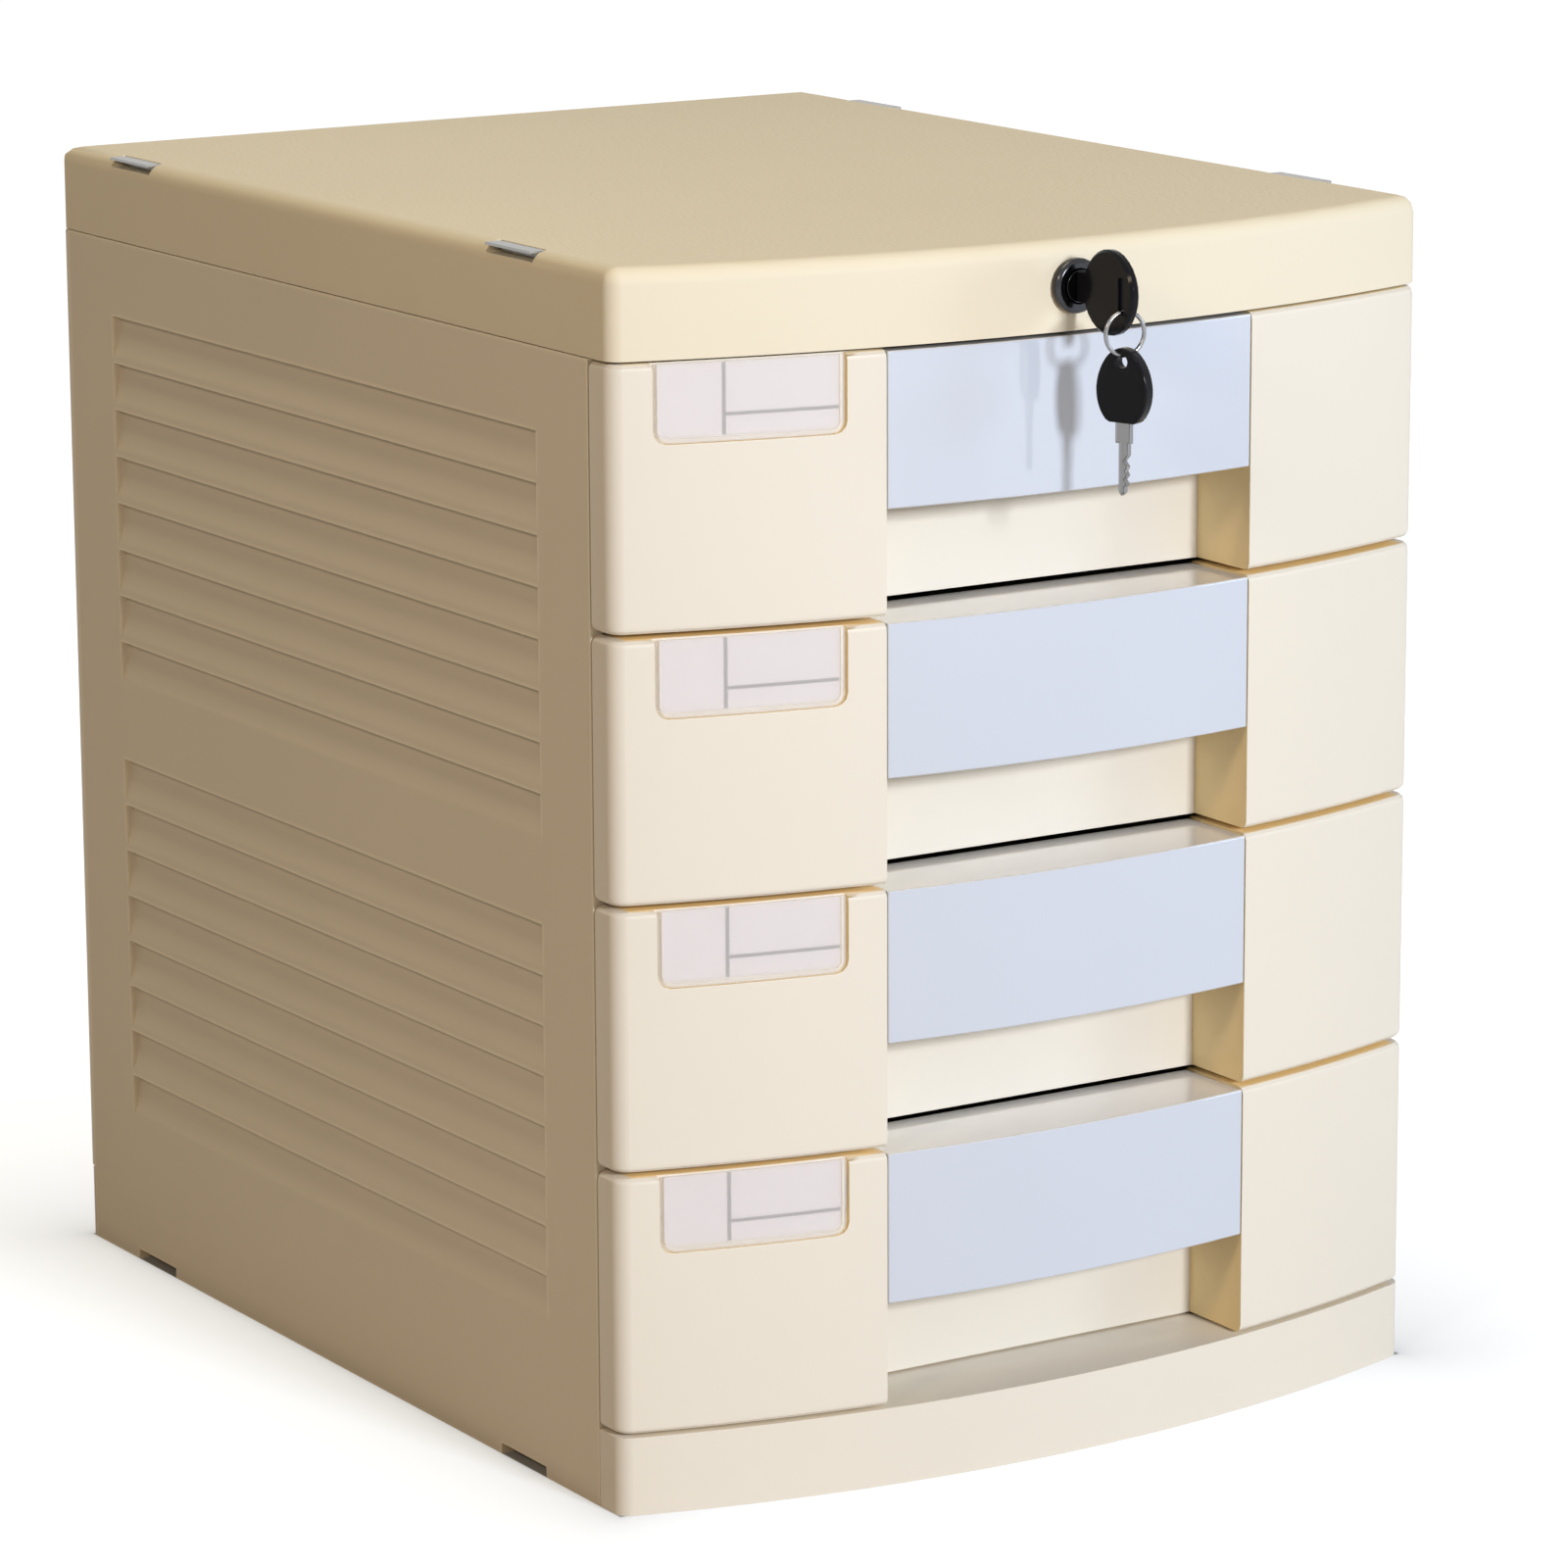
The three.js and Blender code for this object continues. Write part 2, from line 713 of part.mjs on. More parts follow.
// Open tray that hangs by its side flanges in the runners. A hooked catch on its back wall meets the lock.
function drawerTray(n) {
  const bottom = frontBottom(n) + tray.rise;
  const top = rimTop(n);
  const outline = rounded(-trayHalf, trayHalf, trayFront, trayRear, tray.cornerRadius);
  const inside = rounded(
    -trayHalf + tray.wall,
    trayHalf - tray.wall,
    trayFront + tray.wall,
    trayRear - tray.wall,
    tray.cornerRadius - tray.wall,
  );
  const shell = cut(
    roundedColumn(outline, bottom, top, tray.footRadius, 0),
    prism(inside, "z", bottom + tray.wall, top + cutOverrun),
  );
  const flangeHalf = panelInner - tray.flangeClearance;
  const extras = [-1, 1].flatMap((side) => {
    const wall = side * (trayHalf - tray.wall / 2);
    const flangeX = [wall, side * flangeHalf].sort((a, b) => a - b);
    const stopX = [wall, side * (trayHalf + stop.reach)].sort((a, b) => a - b);
    const stopTop = runnerTop(n) - runner.thickness - stop.drop;
    const stopRear = trayRear - stop.inset;
    const flangeY = [trayFront + tray.cornerRadius, trayRear - tray.cornerRadius];
    return [
      block(...flangeX, ...flangeY, top - tray.flangeThickness, top),
      block(...stopX, stopRear - stop.length, stopRear, stopTop - stop.height, stopTop),
    ];
  });
  const holes = frontScrewPlaces().map((x) =>
    rod(
      "y",
      screw.holeRadius,
      trayFront - cutOverrun,
      trayFront + tray.wall + cutOverrun,
      x,
      frontScrewLevel(n),
      screwSides,
    ),
  );
  addPiece(`drawer_tray_${n}`, cut(union(shell, extras), holes), cream);
}

// Steel catch on the back wall of a tray, with an upturned lip behind which the hook drops
function drawerCatch(n) {
  const seat = trayRear + seatGap;
  const tabTop = rimTop(n) - catchTab.depth;
  const tabBottom = tabTop - catchTab.thickness;
  const lipTop = tabTop + catchTab.lipHeight;
  const end = seat + catchTab.reach;
  const profile = [
    [seat, tabBottom - catchTab.lipHeight],
    [seat + catchTab.lipThickness, tabBottom - catchTab.lipHeight],
    [seat + catchTab.lipThickness, tabBottom],
    [end, tabBottom],
    [end, lipTop],
    [end - catchTab.lipThickness, lipTop],
    [end - catchTab.lipThickness, tabTop],
    [seat, tabTop],
  ];
  const half = catchTab.width / 2;
  addPiece(`drawer_catch_${n}`, prism(profile, "x", -half, half), steel);
}

// The front screws sit behind the middle of the left and right fields
const frontScrewPlaces = () => [(-halfWidth + recessLeft) / 2, (recessRight + halfWidth) / 2];
const frontScrewLevel = (n) => frontBottom(n) + frontHeight / 4;

// Label pocket and what lies in it are cut to one outline, square at the top and rounded below
function labelOutline(n, margin, sideMargin = margin) {
  const x0 = -halfWidth + label.margin + sideMargin;
  const x1 = recessLeft - label.margin - sideMargin;
  const z0 = frontTop(n) - label.height + margin;
  const radius = Math.max(label.cornerRadius - margin, 0);
  return [
    ...arc(x0 + radius, z0 + radius, radius, Math.PI, 1.5 * Math.PI, cornerSteps),
    ...arc(x1 - radius, z0 + radius, radius, 1.5 * Math.PI, 2 * Math.PI, cornerSteps),
    [x1, frontTop(n) + cutOverrun],
    [x0, frontTop(n) + cutOverrun],
  ];
}

function labelLayer(n, margin, outerInset, innerInset, top, sideMargin = margin) {
  const band = prism(
    bowBand(-halfWidth + label.margin, recessLeft - label.margin, outerInset, innerInset),
    "z",
    frontTop(n) - label.height - cutOverrun,
    top,
  );
  return band.intersect(prism(labelOutline(n, margin, sideMargin), "y", -bowRise * 2, bowRise));
}

// Bowed drawer front: a thin shell open to the back, stiffened by ribs, with the finger recess let in
function drawerFront(n) {
  const z0 = frontBottom(n);
  const z1 = frontTop(n);
  const rearTrim = block(-width, width, -width, returnDepth, z0, z1);
  const outside = plan(0, returnDepth + 2 * frontEdgeRadius, 0);
  const outer = roundedColumn(outside, z0, z1, frontEdgeRadius, frontEdgeRadius).intersect(rearTrim);
  const inner = prism(plan(frontSkin, returnDepth + cutOverrun, 0), "z", z0 + frontSkin, z1 - frontSkin);
  const fields = [
    [-width, recessLeft - recess.sideWall],
    [recessRight + recess.sideWall, width],
  ];
  const chambers = fields.map(([x0, x1]) => inner.intersect(block(x0, x1, -width, width, z0, z1)));
  const recessCut = block(
    recessLeft,
    recessRight,
    -bowRise - cutOverrun,
    recessBack,
    z0 - cutOverrun,
    z1 + cutOverrun,
  );
  const shell = cut(outer, recessCut, chambers);
  const ribRear = returnDepth - frontRib.setback;
  const fieldEnds = [
    [-halfWidth + frontSkin, recessLeft - recess.sideWall],
    [recessRight + recess.sideWall, halfWidth - frontSkin],
  ];
  const ribs = fieldEnds.flatMap(([x0, x1]) => {
    const step = (x1 - x0) / (frontRib.upright + 1);
    const uprights = Array.from({ length: frontRib.upright }, (_, i) => {
      const x = x0 + step * (i + 1);
      return block(x - frontRib.thickness / 2, x + frontRib.thickness / 2, -width, ribRear, z0, z1);
    });
    const middle = (z0 + z1) / 2;
    const half = frontRib.thickness / 2;
    const shelf = block(x0, x1, -width, ribRear, middle - half, middle + half);
    return [...uprights, shelf];
  });
  const web = union(ribs).intersect(outer);
  const bosses = frontScrewPlaces().map((x) =>
    rod("y", boss.radius, bowY(x) + frontSkin / 2, returnDepth, x, frontScrewLevel(n), spindleSides),
  );
  const holes = frontScrewPlaces().map((x) =>
    rod(
      "y",
      screw.holeRadius,
      trayFront + tray.wall - screw.length - seatGap,
      returnDepth + cutOverrun,
      x,
      frontScrewLevel(n),
      screwSides,
    ),
  );
  const wallTop = z1 - handlePlate.topDrop - handlePlate.ledgeThickness - seatGap;
  const ledgeSeat = block(
    recessLeft,
    recessRight,
    recessBack - cutOverrun,
    returnDepth + cutOverrun,
    wallTop,
    z1 + cutOverrun,
  );
  const tabSlots = [-1, 1].map((side) => {
    const middle = recess.shift + (side * handlePlate.tabSpread) / 2;
    const half = handlePlate.tabWidth / 2 + seatGap;
    const [y0, y1] = [recessBack + handlePlate.hookedSkin, returnDepth + cutOverrun];
    return block(middle - half, middle + half, y0, y1, wallTop - handlePlate.tabDrop, wallTop + cutOverrun);
  });
  const labelPocket = labelLayer(n, 0, -cutOverrun, label.pocketDepth, z1 + cutOverrun);
  const whole = union(shell, web, bosses);
  addPiece(`drawer_front_${n}`, cut(whole, holes, ledgeSeat, tabSlots, labelPocket), cream);
}

// Glossy plate that fills the upper part of the recess: a bowed face under a ledge that runs back
// over the recess wall, where two tabs hook down behind the wall's skin
function handlePlateBody(n) {
  const x0 = recessLeft + seatGap;
  const x1 = recessRight - seatGap;
  const top = frontTop(n) - handlePlate.topDrop;
  const face = prism(bowBand(x0, x1, 0, handlePlate.thickness), "z", top - handlePlate.height, top);
  const tabFront = recessBack + handlePlate.hookedSkin + seatGap;
  const tabRear = tabFront + handlePlate.tabThickness;
  const ledgePlan = [
    ...bowBand(x0, x1, 0, handlePlate.thickness).slice(0, bowSteps / 2 + 1),
    [x1, tabRear],
    [x0, tabRear],
  ];
  const ledge = prism(ledgePlan, "z", top - handlePlate.ledgeThickness, top);
  const tabs = [-1, 1].map((side) => {
    const middle = recess.shift + (side * handlePlate.tabSpread) / 2;
    const half = handlePlate.tabWidth / 2;
    const underside = top - handlePlate.ledgeThickness;
    const tip = underside - handlePlate.tabDrop;
    return block(middle - half, middle + half, tabFront, tabRear, tip, underside + seatGap);
  });
  addPiece(`handle_plate_${n}`, union(face, ledge, tabs), paleBlue);
}

// Paper card at the bottom of the label pocket, and the clear window with a raised rim over it
function labelCard(n) {
  const floor = label.pocketDepth - seatGap / 2;
  const top = frontTop(n) - label.cardMargin / 2;
  const layer = labelLayer(n, label.cardMargin, floor - label.cardThickness, floor, top);
  addPiece(`label_card_${n}`, layer, card);
}

function labelWindow(n) {
  const under = label.pocketDepth - seatGap - label.cardThickness - seatGap / 2;
  const over = under - label.windowThickness;
  const top = frontTop(n) - label.fit;
  const rimRoot = over + label.windowThickness / 2;
  const sheet = labelLayer(n, label.fit, over, under, top, label.sideFit);
  const rimOuter = labelLayer(n, label.fit, over - label.rimHeight, rimRoot, top, label.sideFit);
  const [rimFoot, rimSide] = [label.fit + label.rimWidth, label.sideFit + label.rimWidth];
  const field = prism(labelOutline(n, rimFoot, rimSide), "y", -bowRise * 2, bowRise);
  const rim = rimOuter.subtract(field);
  addPiece(`label_window_${n}`, union(sheet, rim), clear);
}

function frontScrews(n) {
  ["left", "right"].forEach((sideName, i) => {
    const seat = trayFront + tray.wall + seatGap / 2;
    const piece = screwBody(frontScrewPlaces()[i], seat, frontScrewLevel(n), -1);
    addPiece(`front_screw_${n}_${sideName}`, piece, steel);
  });
}

// Lock housing with a chamfered flange on the rail, and the nut that clamps it from behind
function lockHousing() {
  const inner = lock.plugRadius + lock.runningGap;
  const rear = lockFace + lock.bodyLength;
  const outline = [
    [inner, flangeFront],
    [lock.flangeRadius - lock.flangeChamfer, flangeFront],
    [lock.flangeRadius, flangeFront + lock.flangeChamfer],
    [lock.flangeRadius, lockFace],
    [lock.bodyRadius, lockFace],
    [lock.bodyRadius, rear],
    [inner, rear],
    [inner, flangeFront],
  ];
  addPiece("lock_housing", turned(outline, 0, lockHeight, lockSides), chrome);
  const nutFront = -bowRise + shellWall + seatGap;
  const flats = arc(0, lockHeight, lock.nutRadius, 0, 2 * Math.PI, 6).slice(0, -1);
  const nut = prism(flats, "y", nutFront, nutFront + lock.nutThickness);
  const nutBore = rod(
    "y",
    lock.bodyRadius + seatGap,
    nutFront - cutOverrun,
    nutFront + lock.nutThickness + cutOverrun,
    0,
    lockHeight,
    lockSides,
  );
  addPiece("lock_nut", cut(nut, nutBore), steel);
}

// Plug that turns in the housing, slotted for the key in front and for the spindle behind
function lockPlug() {
  const plugRear = lockFace + lock.bodyLength + lock.plugTail;
  const barrel = rod("y", lock.plugRadius, flangeFront - seatGap, plugRear, 0, lockHeight, lockSides);
  const keyway = block(
    -lock.slotWidth / 2,
    lock.slotWidth / 2,
    flangeFront - cutOverrun,
    flangeFront + lock.slotDepth,
    lockHeight - lock.slotHeight / 2,
    lockHeight + lock.slotHeight / 2,
  );
  const tailSlot = block(
    -lock.tailSlotWidth / 2,
    lock.tailSlotWidth / 2,
    plugRear - lock.tailSlotDepth,
    plugRear + cutOverrun,
    lockHeight - lock.plugRadius - cutOverrun,
    lockHeight + lock.plugRadius + cutOverrun,
  );
  addPiece("lock_plug", cut(barrel, keyway, tailSlot), chrome);
}

// Key with a round plastic bow, slotted near its outer edge for the ring, and a cut steel blade
function keyInLock() {
  const bowNear = flangeFront - key.bowGap;
  const bowMiddle = bowNear - key.bowRadius;
  const flat = key.bowRadius - key.bowEdge;
  const half = key.bowThickness / 2;
  const outline = [
    [0, -half],
    [flat, -half],
    [key.bowRadius, -half + key.bowEdge],
    [key.bowRadius, half - key.bowEdge],
    [flat, half],
    [0, half],
  ];
  const disc = turned(outline, 0, 0, bowSides).rotate([0, 0, -90]).translate([0, bowMiddle, lockHeight]);
  const neckRear = flangeFront - key.neckGap;
  const neck = block(
    -half,
    half,
    bowNear - key.neckBite,
    neckRear,
    lockHeight - key.neckHeight / 2,
    lockHeight + key.neckHeight / 2,
  );
  const slotMiddle = bowMiddle - key.bowRadius + key.ringSlotMargin;
  const slot = prism(
    rounded(
      slotMiddle - key.ringSlotWidth / 2,
      slotMiddle + key.ringSlotWidth / 2,
      lockHeight - key.ringSlotLength / 2,
      lockHeight + key.ringSlotLength / 2,
      key.ringSlotWidth / 2 - seatGap,
    ),
    "x",
    -cutOverrun,
    cutOverrun,
  );
  const shankFront = bowNear - key.bladeBite;
  const shankPocket = block(
    -lock.slotWidth / 2,
    lock.slotWidth / 2,
    shankFront - seatGap,
    neckRear + cutOverrun,
    lockHeight - lock.slotHeight / 2,
    lockHeight + lock.slotHeight / 2,
  );
  addPiece("key_bow", cut(union(disc, neck), slot, shankPocket), black);
  const low = lockHeight - key.bladeHeight / 2;
  const high = lockHeight + key.bladeHeight / 2;
  const tip = flangeFront + lock.slotDepth - key.bladeTipGap;
  const cuts = bladeCutShares.flatMap((share, i) => {
    const y = tip - key.cutPitch * (i + 1);
    const valley = high - key.cutDepth * share;
    return [
      [y + key.cutPitch / 2, high],
      [y, valley],
    ];
  });
  const tipCorner = [tip - key.cutPitch / 2, low];
  const profile = [[shankFront, low], tipCorner, [tip, lockHeight], ...cuts, [shankFront, high]];
  const bladeHalf = key.bladeThickness / 2;
  addPiece("key_blade", prism(profile, "x", -bladeHalf, bladeHalf), steel);
}

// Spindle that carries the turn of the plug to the back, and the crank on its end
function lockSpindle() {
  const plugRear = lockFace + lock.bodyLength + lock.plugTail;
  const front = plugRear + seatGap;
  const crankFront = barFront - crank.gap - crank.thickness;
  const shaft = rod("y", spindle.radius, front, barFront - crank.gap, 0, lockHeight, spindleSides);
  const tongue = block(
    -spindle.tongueThickness / 2,
    spindle.tongueThickness / 2,
    plugRear - lock.tailSlotDepth + seatGap,
    front + spindle.radius,
    lockHeight - spindle.tongueWidth / 2,
    lockHeight + spindle.tongueWidth / 2,
  );
  addPiece("lock_spindle", union(shaft, tongue), steel);
  const pinX = crank.throw * Math.cos(crankAngle);
  const pinZ = lockHeight + crank.throw * Math.sin(crankAngle);
  const armOutline = [
    ...arc(
      0,
      lockHeight,
      crank.armRadius,
      crankAngle + Math.PI / 2,
      crankAngle + 1.5 * Math.PI,
      bowSteps / 2,
    ),
    ...arc(pinX, pinZ, crank.armRadius / 2, crankAngle - Math.PI / 2, crankAngle + Math.PI / 2, bowSteps / 2),
  ];
  const arm = prism(armOutline, "y", crankFront, crankFront + crank.thickness);
  const pinEnd = barFront + bar.thickness + crank.pinOver;
  const pin = rod("y", crank.pinRadius, crankFront + crank.thickness / 2, pinEnd, pinX, pinZ, spindleSides);
  const bore = rod(
    "y",
    spindle.radius + spindle.fit,
    crankFront - cutOverrun,
    barFront - crank.gap + cutOverrun,
    0,
    lockHeight,
    spindleSides,
  );
  addPiece("lock_crank", union(cut(arm, bore), pin), steel);
}

// Flat steel bar behind the drawers. The crank pin works in its slot and lowers it to lock.
function lockingBar() {
  const pinX = crank.throw * Math.cos(crankAngle);
  const pinZ = lockHeight + crank.throw * Math.sin(crankAngle);
  const play = crank.pinRadius + crank.pinPlay;
  const top = pinZ + play + bar.topMargin;
  const foot = backBottom + barGuide.inset - bar.footMargin;
  const strip = block(-bar.width / 2, bar.width / 2, barFront, barFront + bar.thickness, foot, top);
  const slot = block(
    pinX - play - bar.slotPlay,
    crank.throw + play,
    barFront - cutOverrun,
    barFront + bar.thickness + cutOverrun,
    pinZ - play,
    pinZ + play,
  );
  addPiece("locking_bar", cut(strip, slot), steel);
}

// Hook riveted to the front of the bar. It stands over the catch, and drops behind its lip to lock.
function lockHook(n) {
  const lipTop = rimTop(n) - catchTab.depth + catchTab.lipHeight;
  const armUnder = lipTop + hook.lift + lockStroke;
  const fingerRear = trayRear + seatGap + catchTab.reach - catchTab.lipThickness - catchTab.play;
  const fingerFront = fingerRear - hook.finger;
  const seat = barFront - seatGap;
  const profile = [
    [fingerFront, armUnder - hook.drop],
    [fingerRear, armUnder - hook.drop],
    [fingerRear, armUnder],
    [seat - hook.arm, armUnder],
    [seat - hook.arm, armUnder - hook.rivet],
    [seat, armUnder - hook.rivet],
    [seat, armUnder + hook.arm],
    [fingerFront, armUnder + hook.arm],
  ];
  addPiece(`lock_hook_${n}`, prism(profile, "x", -hook.width / 2, hook.width / 2), steel);
}

topCover();
stackingClips();
sidePanel("left_panel", -1);
sidePanel("right_panel", 1);
backPanel();
backScrews();
base();
lockHousing();
lockPlug();
keyInLock();
lockSpindle();
lockingBar();
for (const n of drawers) {
  drawerTray(n);
  drawerCatch(n);
  drawerFront(n);
  handlePlateBody(n);
  labelCard(n);
  labelWindow(n);
  frontScrews(n);
  lockHook(n);
}

cabinet.position.set(0, -sideDepth / 2, 0);
const filingCabinet = new THREE.Group();
filingCabinet.add(cabinet);
export default filingCabinet;
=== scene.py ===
"""A cream desktop filing cabinet with four lockable drawers, on a white studio table."""

import math

import bmesh
import bpy
from mathutils import Matrix, Vector


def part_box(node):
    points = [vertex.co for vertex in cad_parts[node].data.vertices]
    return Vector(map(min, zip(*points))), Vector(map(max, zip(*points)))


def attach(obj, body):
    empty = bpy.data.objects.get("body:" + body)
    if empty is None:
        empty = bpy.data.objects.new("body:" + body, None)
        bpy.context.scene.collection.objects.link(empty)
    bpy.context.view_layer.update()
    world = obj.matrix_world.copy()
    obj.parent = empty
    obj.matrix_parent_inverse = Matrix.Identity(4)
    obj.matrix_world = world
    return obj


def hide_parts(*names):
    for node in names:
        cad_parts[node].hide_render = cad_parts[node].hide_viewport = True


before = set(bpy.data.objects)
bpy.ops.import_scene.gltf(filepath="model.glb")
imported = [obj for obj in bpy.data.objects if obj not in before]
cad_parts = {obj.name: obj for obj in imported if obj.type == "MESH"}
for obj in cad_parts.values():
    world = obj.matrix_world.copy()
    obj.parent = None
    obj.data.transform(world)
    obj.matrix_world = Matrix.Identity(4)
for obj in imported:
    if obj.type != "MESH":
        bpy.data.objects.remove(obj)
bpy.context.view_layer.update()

# The studio: the cabinet stands on a white table and is photographed from its front left with a
# long lens. A softbox lights the bowed front, a bluish one fills it from the far right, a warm one
# lies over the top, and a small warm lamp high on the left draws the lips of the louvres.
lens_turn = math.radians(-32.31)
lens_tilt = math.radians(12.612)
lens_roll = math.radians(-0.264)
across = Vector((math.cos(lens_turn), math.sin(lens_turn), 0))
backward = Vector((math.sin(lens_turn), -math.cos(lens_turn), 0)) * math.cos(lens_tilt)
backward.z = math.sin(lens_tilt)
upward = backward.cross(across)
rolled_across = across * math.cos(lens_roll) + upward * math.sin(lens_roll)
rolled_upward = upward * math.cos(lens_roll) - across * math.sin(lens_roll)
camera = bpy.data.objects.new("studio_camera", bpy.data.cameras.new("studio_camera"))
camera.data.sensor_width = 36
camera.data.lens = 146.3
camera.data.clip_end = 60
camera.matrix_world = Matrix((rolled_across, rolled_upward, backward)).transposed().to_4x4()
camera.location = (-1.0988, -1.7768, 0.6452)
bpy.context.scene.collection.objects.link(camera)
bpy.context.scene.camera = camera
bpy.context.scene.view_settings.view_transform = "Standard"


def add_softbox(name, place, aim, size, power, colour):
    """A square studio lamp at a place, turned to what it lights."""
    lamp = bpy.data.lights.new(name, "AREA")
    lamp.size = size
    lamp.energy = power
    lamp.color = colour
    softbox = bpy.data.objects.new(name, lamp)
    softbox.location = place
    softbox.rotation_euler = (Vector(aim) - Vector(place)).to_track_quat("-Z", "Y").to_euler()
    bpy.context.scene.collection.objects.link(softbox)


add_softbox("front_softbox", (0.25, -3.2, 1.15), (0, -0.1, 0.2), 0.4, 74.5, (0.92, 0.96, 1))
add_softbox("right_fill", (2.6, -2, 0.7), (0.05, -0.15, 0.2), 0.8, 20.5, (0.7, 0.85, 1))
add_softbox("top_softbox", (-0.3, 0.1, 1.85), (0, 0, 0.38), 0.8, 8.7, (1, 0.86, 0.54))
add_softbox("side_fill", (-1.55, -0.95, 1.2), (-0.15, -0.05, 0.2), 0.3, 7.4, (1, 0.78, 0.55))


def seen_directly(nodes, links):
    """One for what the lens, a gloss or a clear piece shows, and zero for stray light."""
    rays = nodes.new("ShaderNodeLightPath")
    first = nodes.new("ShaderNodeMath")
    first.operation = "MAXIMUM"
    links.new(rays.outputs["Is Camera Ray"], first.inputs[0])
    links.new(rays.outputs["Is Glossy Ray"], first.inputs[1])
    either = nodes.new("ShaderNodeMath")
    either.operation = "MAXIMUM"
    links.new(first.outputs[0], either.inputs[0])
    links.new(rays.outputs["Is Transmission Ray"], either.inputs[1])
    return either.outputs[0]


room = bpy.data.worlds.new("studio_room")
room.use_nodes = True
room_nodes, room_links = room.node_tree.nodes, room.node_tree.links
room_nodes.clear()
room_light = room_nodes.new("ShaderNodeBackground")
room_light.inputs["Color"].default_value = (0.06, 0.05, 0.04, 1)
room_white = room_nodes.new("ShaderNodeBackground")
room_white.inputs["Color"].default_value = (1, 1, 1, 1)
room_mix = room_nodes.new("ShaderNodeMixShader")
room_links.new(seen_directly(room_nodes, room_links), room_mix.inputs["Fac"])
room_links.new(room_light.outputs[0], room_mix.inputs[1])
room_links.new(room_white.outputs[0], room_mix.inputs[2])
room_out = room_nodes.new("ShaderNodeOutputWorld")
room_links.new(room_mix.outputs[0], room_out.inputs["Surface"])
bpy.context.scene.world = room

table_top = bpy.data.materials.new("white_table")
table_top.use_nodes = True
table_nodes, table_links = table_top.node_tree.nodes, table_top.node_tree.links
table_nodes.clear()
table_stray = table_nodes.new("ShaderNodeBsdfDiffuse")
table_stray.inputs["Color"].default_value = (0.57, 0.5, 0.42, 1)
table_paint = table_nodes.new("ShaderNodeBsdfDiffuse")
table_paint.inputs["Color"].default_value = (0.42, 0.45, 0.5, 1)
# The glow that whitens the table to the lens fades to nothing at the cabinet's footprint: a painted
# shadow round its foot and under it.
table_place = table_nodes.new("ShaderNodeTexCoord")
table_reach = table_place.outputs["Object"]
cabinet_half = (0.15, 0.181, 0)
for operation, amount in (("ABSOLUTE", None), ("SUBTRACT", cabinet_half), ("MAXIMUM", (0, 0, 0))):
    table_step = table_nodes.new("ShaderNodeVectorMath")
    table_step.operation = operation
    table_links.new(table_reach, table_step.inputs[0])
    if amount:
        table_step.inputs[1].default_value = amount
    table_reach = table_step.outputs["Vector"]
table_gap = table_nodes.new("ShaderNodeVectorMath")
table_gap.operation = "LENGTH"
table_links.new(table_reach, table_gap.inputs[0])
table_fade = table_nodes.new("ShaderNodeMapRange")
table_fade.inputs["From Max"].default_value = 0.45
table_links.new(table_gap.outputs["Value"], table_fade.inputs["Value"])
table_painted_shadow_curve = table_nodes.new("ShaderNodeMath")
table_painted_shadow_curve.operation = "POWER"
table_painted_shadow_curve.inputs[1].default_value = 0.12
table_links.new(table_fade.outputs["Result"], table_painted_shadow_curve.inputs[0])
table_glow = table_nodes.new("ShaderNodeEmission")
table_glow.inputs["Color"].default_value = (1, 1, 1, 1)
table_links.new(table_painted_shadow_curve.outputs[0], table_glow.inputs["Strength"])
table_lift = table_nodes.new("ShaderNodeAddShader")
table_links.new(table_paint.outputs[0], table_lift.inputs[0])
table_links.new(table_glow.outputs[0], table_lift.inputs[1])
table_mix = table_nodes.new("ShaderNodeMixShader")
table_links.new(seen_directly(table_nodes, table_links), table_mix.inputs["Fac"])
table_links.new(table_stray.outputs[0], table_mix.inputs[1])
table_links.new(table_lift.outputs[0], table_mix.inputs[2])
table_out = table_nodes.new("ShaderNodeOutputMaterial")
table_links.new(table_mix.outputs[0], table_out.inputs["Surface"])
table_half = 15
table_shape = bmesh.new()
bmesh.ops.create_grid(table_shape, x_segments=1, y_segments=1, size=table_half)
table_mesh = bpy.data.meshes.new("studio_table")
table_shape.to_mesh(table_mesh)
table_shape.free()
table_mesh.materials.append(table_top)
table = bpy.data.objects.new("studio_table", table_mesh)
bpy.context.scene.collection.objects.link(table)


